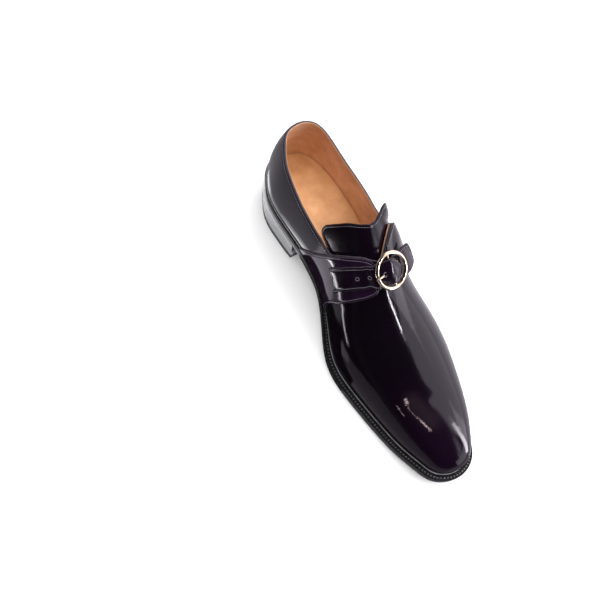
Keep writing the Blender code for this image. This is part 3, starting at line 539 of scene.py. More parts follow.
def make_piece(name: str, points: Array, faces: Sequence[Sequence[int]], finishes: Sequence[Material],
               slots: Array | None = None, sharp: float = 50.0) -> Piece:
    """Make and report a smooth, outward-facing piece that rides on the shoe.

    Args:
        name: The piece's name.
        points: Its points in the shoemaker's measures.
        faces: Its faces as indices of points.
        finishes: The materials it wears.
        slots: Which of them each face wears, if there is more than one.
        sharp: Angle in degrees past which an edge stays crisp.

    Returns:
        The new object.
    """
    mesh = new_mesh(name, placed(points).reshape(-1, 3).tolist(), faces, finishes)
    if slots is not None:
        mesh.polygons.foreach_set("material_index", np.asarray(slots, np.int32))
    clean(mesh)
    mesh.shade_smooth()
    mesh.set_sharp_from_angle(angle=math.radians(sharp))
    LOG.info("%s: %d faces", name, len(mesh.polygons))
    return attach(stood(name, mesh), BODY)


def loop_faces(rows: int, columns: int, closed: bool,
               caps: tuple[bool, bool] = (False, False)) -> list[tuple[int, ...]]:
    """Faces of rows of closed loops, as in a tube.

    Args:
        rows: How many loops there are.
        columns: Points in each loop.
        closed: Whether the last loop joins the first.
        caps: Whether the first and the last loop are filled.

    Returns:
        Faces as tuples of indices.
    """
    faces = []
    for i in range(rows if closed else rows - 1):
        k = (i + 1) % rows
        for j in range(columns):
            m = (j + 1) % columns
            faces.append((i * columns + j, i * columns + m, k * columns + m, k * columns + j))
    if caps[0]:
        faces.append(tuple(range(columns)))
    if caps[1]:
        faces.append(tuple((rows - 1) * columns + j for j in range(columns)))
    return faces


def tube_loops(path: Array, radii: Array, facets: int, closed: bool, guide: Array) -> Array:
    """Loops of points round a path.

    Args:
        path: The middle line.
        radii: Radius, or a pair of half widths across and along the guide, at each point.
        facets: Points round each loop.
        closed: Whether the path is a ring.
        guide: A direction that the loops keep square to.

    Returns:
        The loops as a grid of points.
    """
    ahead = headings(path, closed)
    first = unit(np.cross(ahead, guide))
    second = unit(np.cross(first, ahead))
    angles = ring_angles(facets)
    radii = np.asarray(radii, float)
    if radii.ndim < 2:
        radii = np.stack([np.broadcast_to(radii, (len(path),))] * 2, -1)
    return (path[:, None] + radii[:, :1, None] * np.cos(angles)[None, :, None] * first[:, None]
            + radii[:, 1:, None] * np.sin(angles)[None, :, None] * second[:, None])


def make_tube(name: str, path: Array, radii: Array, facets: int, guide: Array, finish: Material,
              closed: bool = False) -> Piece:
    """Make a tube round a path, with flat ends unless it is a ring.

    Args:
        name: The piece's name.
        path: The middle line.
        radii: Radius, or a pair of half widths, at each point.
        facets: Points round the tube.
        guide: A direction that its loops keep square to.
        finish: The material it wears.
        closed: Whether the path is a ring.

    Returns:
        The piece.
    """
    loops = tube_loops(path, radii, facets, closed, guide)
    faces = loop_faces(len(path), facets, closed, (not closed, not closed))
    return make_piece(name, loops, faces, [finish])


def nearest(points: Array, line: Array) -> Array:
    """Distance from each point to the nearest point of a closely spaced line."""
    tree = kdtree.KDTree(len(line))
    for i, place in enumerate(line):
        tree.insert(place, i)
    tree.balance()
    flat = points.reshape(-1, 3)
    return np.array([tree.find(place)[2] for place in flat]).reshape(points.shape[:-1])


def resampled(path: Array, step: float, closed: bool = False) -> Array:
    """A path's points set again at an even step."""
    if closed:
        path = np.concatenate([path, path[:1]])
    length = run_along(path)
    count = max(2, int(round(length[-1] / step)) + 1)
    at = np.linspace(0, length[-1], count)[:-1 if closed else None]
    return np.stack([np.interp(at, length, path[:, axis]) for axis in range(path.shape[1])], -1)


@dataclass(frozen=True)
class Edge:
    """How a leather edge is skived, rounded over and sewn.

    Attributes:
        foot: Share of the thickness that stands upright at the very edge.
        round_over: How far in the rounding reaches.
        seam: How far in the stitches lie.
        groove: How deep they pull the leather down.
        spread: Half width of that groove.
    """

    thick: float
    foot: float = 0.45
    round_over: float = 0.9
    seam: float = 1.9
    groove: float = 0.16
    spread: float = 0.45

    @property
    def thread_height(self) -> float:
        """Height of the stitches above the under face."""
        return self.thick - self.groove + THREAD_PROUD

    @property
    def steps(self) -> Array:
        """Distances from the edge at which the mesh has a line of points."""
        inner = self.seam + self.spread * np.array([-2.2, -1.2, -0.6, 0, 0.6, 1.2, 2.2])
        outer = self.round_over * np.array([0, 0.04, 0.14, 0.32, 0.58])
        return np.concatenate([outer, inner[inner > self.round_over * 0.8], [self.seam + 1.9]])

    def lift(self, distance: Array) -> Array:
        """Height of the upper face at a distance from the edge."""
        u = np.clip(distance / self.round_over, 0, 1)
        shoulder = self.foot + (1 - self.foot) * np.sqrt(1 - (1 - u) ** 2)
        return self.thick * shoulder - self.groove * np.exp(-((distance - self.seam) / self.spread) ** 2)


def bordered(width: Array, count: int, near: Array, far: Array) -> Array:
    """Shares from 0 to 1 across a width, with lines of points near its two edges.

    Args:
        width: Width of each row.
        count: Even steps between the lines near the edges.
        near: Distances of the lines near the first edge.
        far: Distances of the lines near the last edge.

    Returns:
        One row of shares for each width.
    """
    width = np.atleast_1d(np.asarray(width, float))[:, None]
    reach = max(near[-1] if len(near) else 0.0, far[-1] if len(far) else 0.0)
    fit = np.minimum(1.0, 0.45 * width / max(reach, 1e-6))
    first, last = near[None] * fit, width - far[::-1][None] * fit
    start = first[:, -1:] if len(near) else np.zeros_like(width)
    stop = last[:, :1] if len(far) else width
    free = slice(1 if len(near) else 0, -1 if len(far) else None)
    even = start + (stop - start) * np.linspace(0, 1, count + 1)[None, free]
    return np.concatenate([first, even, last], axis=1) / width


@dataclass(frozen=True)
class Thread:
    """One size of sewing thread and its stitch, slanted across the seam by a share of its run."""

    pitch: float = 2.3
    length: float = 1.75
    width: float = 0.42
    height: float = 0.34
    slant: float = 0.0

    def sew(self, name: str, path: Array, normals: Array, finish: Material,
            closed: bool = False) -> Piece:
        """Lay a row of stitches along a path.

        Args:
            name: The piece's name.
            path: Points of the seam on the leather.
            normals: Outward directions there.
            finish: The thread's material.
            closed: Whether the seam runs all the way round.

        Returns:
            The row as one piece.
        """
        both = resampled(np.concatenate([path, normals], axis=1), self.pitch, closed)
        middle, up = both[:, :3], unit(both[:, 3:])
        ahead = headings(middle, closed)
        aside = unit(np.cross(up, ahead))
        ahead = unit(ahead + aside * self.slant)
        aside = unit(np.cross(up, ahead))
        places, swell, sink = np.array(STITCH_LOOPS).T
        angles = ring_angles(STITCH_SIDES)
        x = np.repeat(places * self.length, STITCH_SIDES)
        y = (swell[:, None] * np.cos(angles)[None] * self.width / 2).ravel()
        z = ((swell[:, None] * np.sin(angles)[None] + sink[:, None]) * self.height / 2).ravel()
        points = (middle[:, None] + ahead[:, None] * x[None, :, None]
                  + aside[:, None] * y[None, :, None] + up[:, None] * z[None, :, None])
        one = loop_faces(len(places), STITCH_SIDES, False, (True, True))
        faces = [tuple(i * len(x) + v for v in face) for i in range(len(middle)) for face in one]
        return make_piece(name, points, faces, [finish], sharp=80)


class Tucked(Enum):
    """Which row of a sheet is tucked away and has no edge of its own."""

    FIRST = "the first row"
    LAST = "the last row"
    NEITHER = "no row"


@dataclass
class Sheet:
    """A piece of leather lying on a surface, rounded over and sewn near its border.

    Attributes:
        base: Grid of points of its under face.
        up: Outward directions there.
    """

    base: Array
    up: Array
    edge: Edge
    tucked: Tucked = Tucked.FIRST

    def __post_init__(self) -> None:
        """Find the border and the distance of every point from it."""
        both = np.concatenate([self.base, self.up], axis=-1)
        first, last = both[:, 0], both[:, -1]
        sides = {Tucked.FIRST: [first, both[-1], last[::-1]],
                 Tucked.LAST: [first[::-1], both[0], last],
                 Tucked.NEITHER: [first, both[-1], last[::-1], both[0][::-1]]}[self.tucked]
        line = resampled(np.concatenate(sides), BORDER_STEP)
        self.border, self.border_up = line[:, :3], unit(line[:, 3:])
        self.distance = nearest(self.base, self.border)

    @property
    def top(self) -> Array:
        """Grid of points of the upper face."""
        return self.base + self.up * self.edge.lift(self.distance)[..., None]

    def inset(self, trim: float = 0.0) -> tuple[Array, Array]:
        """Path of the stitches inside the border, and the outward directions along it.

        Args:
            trim: Length left off at each end.

        Returns:
            The path's points and outward directions.
        """
        inward = unit(np.cross(self.border_up, headings(self.border)))
        middle = self.base[self.base.shape[0] // 2, self.base.shape[1] // 2]
        if np.sum(inward * (middle - self.border)) < 0:
            inward = -inward
        path = self.border + inward * self.edge.seam
        kept = nearest(path, self.border) > self.edge.seam * 0.97
        path, up = path[kept], self.border_up[kept]
        length = run_along(path)
        kept = (length > trim) & (length < length[-1] - trim)
        return path[kept] + up[kept] * self.edge.thread_height, up[kept]

    def piece(self, name: str, finishes: Sequence[Material]) -> Piece:
        """Close the sheet into a solid piece.

        Args:
            name: The piece's name.
            finishes: What the upper face, the cut edge and, if it differs, the under face wear.

        Returns:
            The piece.
        """
        rows, columns = self.base.shape[:2]
        points = np.concatenate([self.base, self.top])
        above = rows * columns
        under = len(finishes) - 1 if len(finishes) > 2 else 0
        faces, slots = [], []
        for i in range(rows - 1):
            for j in range(columns - 1):
                a = i * columns + j
                b, c, d = a + 1, a + columns + 1, a + columns
                faces += [(a, b, c, d), (above + d, above + c, above + b, above + a)]
                cut = min(self.distance[i, j], self.distance[i + 1, j + 1]) < self.edge.round_over * 0.1
                slots += [under, int(cut)]
        grid = np.arange(above).reshape(rows, columns)
        ring = np.concatenate([grid[:, 0], grid[-1, 1:], grid[-2::-1, -1], grid[0, -2:0:-1]]).tolist()
        faces += [(a, b, above + b, above + a) for a, b in zip(ring, ring[1:] + ring[:1])]
        slots += [1] * len(ring)
        return make_piece(name, points, faces, finishes, np.array(slots))


@dataclass(frozen=True)
class Rail:
    """A line round the shoe: how far out from the feather line it runs, and how high."""

    reach: Measure
    height: Measure

    def points(self, turns: Array) -> Array:
        """Points of the line at some turns."""
        plan = LAST.feather(turns, self.reach(turns))
        return np.concatenate([plan, self.height(plan[..., 0])[..., None]], -1)


def level(value: float) -> Measure:
    """A reach or height that is the same everywhere."""
    return lambda at: np.full(np.shape(at), float(value))


def past_edge(more: float) -> Measure:
    """A reach beyond the trimmed edge of the sole."""
    return lambda turn: LAST.sole_reach(turn) + more


def above_tread(rise: float) -> Measure:
    """A height that follows the outsole's underside."""
    return lambda along: LAST.tread(along) + rise


def plank(name: str, turns: Array, rails: Sequence[Rail], across: int, finishes: Sequence[Material],
          slots: tuple[int, int, int] = (0, 0, 0), capped: bool = False) -> Piece:
    """Solid that spans the shoe between rails up its medial and lateral edges.

    Args:
        name: The piece's name.
        turns: Turns of its sections, from the heel forwards.
        rails: Lines of its edge, from the lowest to the highest.
        across: Steps across its two faces.
        finishes: The materials it wears.
        slots: Which of them its bottom, edge and top wear.
        capped: Whether its last section is a flat end.

    Returns:
        The piece.
    """
    medial = np.stack([rail.points(-turns) for rail in rails], 1)
    lateral = np.stack([rail.points(turns) for rail in rails], 1)
    u = np.linspace(0, 1, across + 1)[None, 1:-1, None]
    bottom = medial[:, :1] * (1 - u) + lateral[:, :1] * u
    top = lateral[:, -1:] * (1 - u) + medial[:, -1:] * u
    loops = np.concatenate([bottom, lateral, top, medial[:, ::-1]], axis=1)
    rows, columns = loops.shape[:2]
    faces = loop_faces(rows, columns, False, (False, capped))
    bottom_slot, edge_slot, top_slot = slots
    edges = [edge_slot] * (len(rails) - 1)
    column = [bottom_slot] * (across - 1) + edges + [top_slot] * across + edges + [bottom_slot]
    chosen = np.array(column * (rows - 1) + [edge_slot] * capped)
    return make_piece(name, loops, faces, finishes, chosen, sharp=35)


# ---- finishes ----------------------------------------------------------------
class Graph:
    """Nodes of a material or of the world, laid down one after another."""

    def __init__(self, made: Material | bpy.types.World, shader: str = "Principled BSDF",
                 space: str = "Object") -> None:
        """Start from the shader and a place in the shoe's own space.

        Args:
            made: The new material or world.
            shader: The node that it starts with.
            space: The space that its patterns lie in.
        """
        self.made = made
        self.made.use_nodes = True
        self.tree = self.made.node_tree
        self.shader = self.tree.nodes[shader]
        self.place = self.add("ShaderNodeTexCoord").outputs[space]

    def add(self, kind: str, **settings: object) -> bpy.types.Node:
        """Add a node and set its properties."""
        node = self.tree.nodes.new(kind)
        for key, value in settings.items():
            setattr(node, key, value)
        return node

    def texture(self, node: bpy.types.Node, place: Socket, **inputs: float) -> bpy.types.Node:
        """Lay a texture node over a place and set its inputs."""
        self.link(place, node.inputs["Vector"])
        for key, value in inputs.items():
            node.inputs[key].default_value = value
        return node

    def link(self, output: Socket, target: object) -> None:
        """Join an output to a socket of the shader by name, or to any socket."""
        socket = self.shader.inputs[target] if isinstance(target, str) else target
        self.tree.links.new(output, socket)

    def fixed(self, **values: object) -> None:
        """Set constant values on the shader, spaces in the names written as underscores."""
        for key, value in values.items():
            self.shader.inputs[key.replace("_", " ")].default_value = value

    def noise(self, scale: float, detail: float = 2.0, rough: float = 0.5,
              stretch: Place = (1, 1, 1)) -> Socket:
        """Cloudy pattern with about this many grains in a metre."""
        mapping = self.add("ShaderNodeMapping")
        mapping.inputs["Scale"].default_value = stretch
        self.link(self.place, mapping.inputs["Vector"])
        return self.texture(self.add("ShaderNodeTexNoise"), mapping.outputs["Vector"],
                            Scale=scale, Detail=detail, Roughness=rough).outputs["Fac"]

    def feed(self, socket: Socket, value: object) -> None:
        """Give a socket another node's output, a colour, a vector or a number."""
        if isinstance(value, Socket):
            self.link(value, socket)
        elif isinstance(value, tuple) and socket.type == "RGBA":
            socket.default_value = (*value, 1.0)
        else:
            socket.default_value = value

    def vector(self, operation: str, *values: object) -> bpy.types.Node:
        """Vector maths on outputs and fixed vectors."""
        node = self.add("ShaderNodeVectorMath", operation=operation)
        for socket, value in zip(node.inputs, values):
            self.feed(socket, value)
        return node

    def cloud(self, target: str, grain: Sequence[object], *stops: tuple[float, object]) -> None:
        """Lead a noise through a ramp into one of the shader's sockets."""
        self.link(self.ramp(self.noise(*grain), *stops), target)

    def warped(self, scale: float, reach: float) -> Socket:
        """The place, pushed about by a noise of this scale by up to half this reach in metres."""
        noise = self.texture(self.add("ShaderNodeTexNoise"), self.place, Scale=scale, Detail=4.0)
        push = self.vector("MULTIPLY_ADD", noise.outputs["Color"], (reach,) * 3, (-reach / 2,) * 3)
        return self.vector("ADD", self.place, push.outputs[0]).outputs[0]

    def cells(self, scale: float) -> Socket:
        """How far a place lies from the edge of its cell, with about this many cells in a metre."""
        node = self.add("ShaderNodeTexVoronoi", feature="DISTANCE_TO_EDGE")
        return self.texture(node, self.place, Scale=scale).outputs["Distance"]

    def ramp(self, factor: Socket, *stops: tuple[float, object]) -> Socket:
        """Colour or grey value that changes with a factor."""
        node = self.add("ShaderNodeValToRGB")
        self.link(factor, node.inputs["Fac"])
        marks = node.color_ramp.elements
        while len(marks) < len(stops):
            marks.new(0.5)
        for mark, (at, value) in zip(marks, stops):
            mark.position = at
            colour = value if isinstance(value, tuple) else (value,) * 3
            mark.color = (*colour, 1.0)
        return node.outputs["Color"]

    def mix(self, factor: object, first: object, second: object) -> Socket:
        """Blend of two colours, each a value or another node's output."""
        node = self.add("ShaderNodeMix", data_type="RGBA")
        for socket, value in zip((node.inputs[0], *node.inputs[6:8]), (factor, first, second)):
            self.feed(socket, value)
        return node.outputs[2]

    def sum(self, first: object, second: object, how: str = "ADD") -> Socket:
        """One number worked out from two."""
        node = self.add("ShaderNodeMath", operation=how)
        for socket, value in zip(node.inputs, (first, second)):
            self.feed(socket, value)
        return node.outputs[0]

    def times(self, first: object, second: object) -> Socket:
        """The product of two numbers."""
        return self.sum(first, second, "MULTIPLY")

    def axis(self, name: str) -> Socket:
        """One coordinate of the place, in metres."""
        node = self.add("ShaderNodeSeparateXYZ")
        self.link(self.place, node.inputs[0])
        return node.outputs[name]

    def between(self, value: Socket, low: float, high: float) -> Socket:
        """How far a value lies from one number to another, from 0 to 1, eased."""
        node = self.add("ShaderNodeMapRange", interpolation_type="SMOOTHSTEP")
        node.inputs["From Min"].default_value = low
        node.inputs["From Max"].default_value = high
        self.link(value, node.inputs["Value"])
        return node.outputs["Result"]

    def distance(self, first: Socket, second: object) -> Socket:
        """Distance between two places."""
        return self.vector("DISTANCE", first, second).outputs["Value"]

    def streak(self, start: Place, end: Place, width: float, place: Socket | None = None) -> Socket:
        """How near a place lies to a straight line: 1 on it, 0 a width away."""
        way = Vector(end) - Vector(start)
        past = self.vector("SUBTRACT", place or self.place, start).outputs[0]
        share = self.vector("DOT_PRODUCT", past, way / way.length_squared)
        held = self.add("ShaderNodeClamp")
        self.link(share.outputs["Value"], held.inputs["Value"])
        foot = self.vector("SCALE", way)
        self.link(held.outputs[0], foot.inputs["Scale"])
        return self.between(self.distance(past, foot.outputs[0]), width, 0.0)

    def bump(self, height: Socket, depth: float) -> None:
        """Relief of this depth in metres, laid over any relief that is already there."""
        node = self.add("ShaderNodeBump")
        node.inputs["Distance"].default_value = depth
        self.link(height, node.inputs["Height"])
        socket = self.shader.inputs["Normal"]
        if socket.links:
            self.link(socket.links[0].from_socket, node.inputs["Normal"])
        self.link(node.outputs["Normal"], socket)


@dataclass(frozen=True)
class Finish:
    """A finish, laid down node by node."""

    name: str

    def material(self) -> Material:
        """Make the finish."""
        g = Graph(bpy.data.materials.new(self.name))
        self.lay(g)
        return g.made

    def lay(self, g: Graph) -> None:
        """Lay its nodes."""
        raise NotImplementedError


@dataclass(frozen=True)
class PolishedCalf(Finish):
    """Aubergine calf, glazed until it mirrors the room.

    Attributes:
        glow: How much of its colour the clouds let through.
        worked_at: Middle of the part worked hardest, in metres.
        painted_glints: Lines of painted highlight over the toe puff, pale and crackled: start, end, width
            and strength.
        glint_haze: Start, end and width of the faint painted highlight round them.
    """

    name: str = "polished_calf"
    dark: Colour = (0.0017, 0.0011, 0.0021)
    aubergine: Colour = (0.0075, 0.0020, 0.0092)
    glow: float = 0.35
    rough: float = 0.095
    coat: float = 0.16
    shine: float = 0.42
    worked_at: Place = (-0.019, -0.096, 0.043)
    worked_reach: float = 0.026
    # Painted highlight on the toe puff: its pale pink, the streaks it is laid in and the faint wash round
    # them.
    glint_tint: Colour = (0.80, 0.60, 0.63)
    painted_glints: tuple[tuple[Place, Place, float, float], ...] = (
        ((-0.0220, -0.0812, 0.0450), (-0.0224, -0.0838, 0.0442), 0.0021, 1.10),
        ((-0.0224, -0.0838, 0.0442), (-0.0232, -0.0890, 0.0434), 0.0012, 0.30),
        ((-0.0232, -0.0890, 0.0434), (-0.0205, -0.0970, 0.0428), 0.0012, 0.32),
        ((-0.0205, -0.0970, 0.0428), (-0.0160, -0.1105, 0.0412), 0.0014, 0.58),
        ((-0.0290, -0.0812, 0.0396), (-0.0276, -0.0905, 0.0390), 0.0011, 0.26),
    )
    glint_haze: tuple[Place, Place, float] = ((-0.0180, -0.0850, 0.0450), (-0.0120, -0.1040, 0.0420), 0.0120)
    glint_haze_strength: float = 0.009

    def lay(self, g: Graph) -> None:
        """Lay its nodes."""
        g.link(self._colour(g), "Base Color")
        smear = (90, 4, 0.6, (1, 0.45, 1))
        g.cloud("Roughness", smear, (0.30, self.rough * 0.75), (0.70, self.rough * 1.35))
        g.fixed(IOR=1.5, Specular_IOR_Level=self.shine, Specular_Tint=(0.96, 0.91, 1.0, 1.0),
                Coat_Weight=self.coat, Coat_Roughness=0.03, Coat_IOR=1.45)
        g.bump(g.noise(1500, 3, 0.6), 0.000016)
        g.bump(g.noise(60, 2, 0.5), 0.00022)
        near = g.between(g.distance(g.place, self.worked_at), self.worked_reach, 0.004)
        fine = g.times(g.cells(620), g.noise(900, 3, 0.7, (1, 2.2, 1)))
        g.bump(g.times(fine, near), 0.00009)

    def _colour(self, g: Graph) -> Socket:
        """Clouded colour, stronger at the toe, with a pale painted highlight laid over its puff."""
        cloud = g.noise(38, 3, 0.55)
        toe = g.between(g.axis("Y"), -0.045, -0.135)
        colour = g.mix(g.sum(g.times(cloud, self.glow), g.times(toe, 0.42)), self.dark, self.aubergine)
        # Painted highlight: pale streaks, broken by crackle, mixed into the base colour over the toe puff.
        crackle = g.ramp(g.noise(900, 5, 0.75), (0.45, 0.0), (0.56, 1.0))
        ragged = g.warped(560, 0.0028)
        colour = g.mix(g.times(g.streak(*self.glint_haze), self.glint_haze_strength), colour, self.glint_tint)
        for start, end, width, strength in self.painted_glints:
            glint_mark = g.times(g.streak(start, end, width, ragged), strength)
            colour = g.mix(g.times(glint_mark, crackle), colour, self.glint_tint)
        return colour


@dataclass(frozen=True)
class LiningCalf(Finish):
    """Tan vegetable-tanned lining leather."""

    name: str = "lining_leather"
    light: Colour = (0.70, 0.38, 0.19)
    deep: Colour = (0.52, 0.25, 0.11)
    rough: float = 0.52

    def lay(self, g: Graph) -> None:
        """Lay its nodes."""
        g.cloud("Base Color", (70, 5, 0.62), (0.32, self.deep), (0.68, self.light))
        g.cloud("Roughness", (240, 3), (0.3, self.rough - 0.08), (0.7, self.rough + 0.10))
        g.fixed(Sheen_Weight=0.15, Sheen_Roughness=0.5)
        g.bump(g.noise(1300, 3, 0.6), 0.00006)
        g.bump(g.cells(700), 0.00004)


@dataclass(frozen=True)
class EdgeLeather(Finish):
    """Inked and waxed leather of a sole edge, a welt or a stacked heel."""

    name: str = "edge_ink"
    dark: Colour = (0.010, 0.009, 0.011)
    # Lighter tone of the clouds; for the line at the feather it is a painted highlight.
    wear_and_sheen: Colour = (0.030, 0.027, 0.032)
    rough: float = 0.34
    grain: float = 160
    coat: float = 0.08
    relief: float = 0.00008

    def lay(self, g: Graph) -> None:
        """Lay its nodes."""
        g.cloud("Base Color", (self.grain, 4, 0.6, (1, 1, 3)), (0.40, self.dark), (0.72, self.wear_and_sheen))
        g.cloud("Roughness", (420, 3), (0.3, self.rough * 0.8), (0.7, self.rough * 1.25))
        g.fixed(Specular_IOR_Level=0.3, Coat_Weight=self.coat, Coat_Roughness=0.12)
        g.bump(g.noise(900, 4, 0.65, (1, 1, 2.5)), self.relief)


@dataclass(frozen=True)
class Rubber(Finish):
    """Dull black rubber of the heel's top piece."""

    name: str = "heel_rubber"
    dark: Colour = (0.012, 0.012, 0.012)
    light: Colour = (0.028, 0.028, 0.029)

    def lay(self, g: Graph) -> None:
        """Lay its nodes."""
        g.cloud("Base Color", (300, 4), (0.3, self.dark), (0.75, self.light))
        g.cloud("Roughness", (700, 2), (0.3, 0.58), (0.7, 0.78))
        g.bump(g.noise(1800, 3), 0.00005)


@dataclass(frozen=True)
class SewingThread(Finish):
    """Waxed, dyed thread, its grey tones partly a painted sheen over dark thread."""

    name: str = "thread_with_painted_sheen"
    # Both tones lie above the thread's own dark: partly painted sheen.
    dark: Colour = (0.120, 0.108, 0.126)
    light: Colour = (0.340, 0.320, 0.350)
    rough: float = 0.42

    def lay(self, g: Graph) -> None:
        """Lay its nodes."""
        g.cloud("Base Color", (2600, 2), (0.35, self.dark), (0.7, self.light))
        g.fixed(Roughness=self.rough, Coat_Weight=0.2, Coat_Roughness=0.3)
        g.bump(g.noise(5200, 2), 0.00006)


@dataclass(frozen=True)
class PolishedBrass(Finish):
    """Pale gold plating, buffed bright."""

    name: str = "polished_brass"
    light: Colour = (1.0, 0.86, 0.68)
    deep: Colour = (0.95, 0.75, 0.53)
    rough: float = 0.09

    def lay(self, g: Graph) -> None:
        """Lay its nodes."""
        g.cloud("Base Color", (130, 3), (0.35, self.deep), (0.65, self.light))
        g.cloud("Roughness", (900, 4, 0.7), (0.3, self.rough * 0.7), (0.75, self.rough * 1.7))
        g.fixed(Metallic=1.0)
        g.bump(g.noise(700, 2), 0.00001)


@dataclass(frozen=True)
class Floor(Finish):
    """Plain pale studio floor that melts into the backdrop."""

    name: str = "studio_floor"
    light: Colour = (0.93, 0.93, 0.935)

    def lay(self, g: Graph) -> None:
        """Lay its nodes."""
        far = g.vector("LENGTH", g.place).outputs["Value"]
        shadowed = tuple(c * 0.985 for c in self.light)
        g.cloud("Base Color", (40, 3), (0.3, shadowed), (0.7, self.light))
        g.link(g.sum(g.between(far, 0.35, 1.3), 0.16, "MAXIMUM"), "Emission Strength")
        g.fixed(Emission_Color=(*self.light, 1.0), Roughness=0.75, Specular_IOR_Level=0.2)


class Finishes:
    """Every material of the shoe, made once."""

    def __init__(self) -> None:
        """Make them all."""
        self.calf = PolishedCalf().material()
        self.tab_calf = PolishedCalf("polished_tab_calf", aubergine=(0.0230, 0.0068, 0.0285),
                                     glow=0.9).material()
        self.strap_calf = PolishedCalf("polished_strap_calf", aubergine=(0.0120, 0.0034, 0.0150),
                                       glow=0.6).material()
        self.tongue_calf = PolishedCalf("polished_tongue_calf", glow=0.5, rough=0.16, coat=0.03,
                                        shine=0.27).material()
        # Pale grey calf for the rims of the strap's holes: a painted highlight.
        self.wear_and_sheen = PolishedCalf("pale_highlight_calf", dark=(0.120, 0.108, 0.126), aubergine=(0.200, 0.180, 0.205),
                                 rough=0.34).material()
        self.cut = PolishedCalf("burnished_cut_calf", dark=(0.040, 0.033, 0.043),
                                aubergine=(0.085, 0.072, 0.090), rough=0.30).material()
        # Pale grey of the line at the feather: a painted highlight.
        self.inseam_highlight = EdgeLeather("inseam_painted_highlight", (0.34, 0.33, 0.35), (0.50, 0.48, 0.51), 0.3).material()
        self.lining = LiningCalf().material()
        self.sock = LiningCalf("sock_leather", (0.66, 0.36, 0.16), (0.50, 0.24, 0.095)).material()
        self.welt = EdgeLeather("welt_leather", (0.004, 0.004, 0.005), (0.018, 0.017, 0.019),
                                0.30, 1100).material()
        self.rand = EdgeLeather("rand_ink", (0.003, 0.003, 0.004), (0.009, 0.008, 0.009),
                                0.45, 900, coat=0.0).material()
        self.edge = EdgeLeather("sole_edge", (0.024, 0.023, 0.025), (0.050, 0.049, 0.052),
                                0.24, 420, coat=0.25, relief=0.00004).material()
        self.heel = EdgeLeather("heel_lifts", (0.014, 0.014, 0.015), (0.024, 0.025, 0.025),
                                0.22, 420, coat=0.40, relief=0.00001).material()
        self.tread = EdgeLeather("tread_leather", (0.055, 0.030, 0.018), (0.105, 0.060, 0.036),
                                 0.5).material()
        self.rubber = Rubber().material()
        # The stitch threads' grey tones are partly a painted sheen over dark thread.
        self.thread = SewingThread().material()
        self.welt_thread = SewingThread("welt_thread", (0.045, 0.043, 0.045), (0.30, 0.29, 0.30)).material()
        self.brass = PolishedBrass().material()


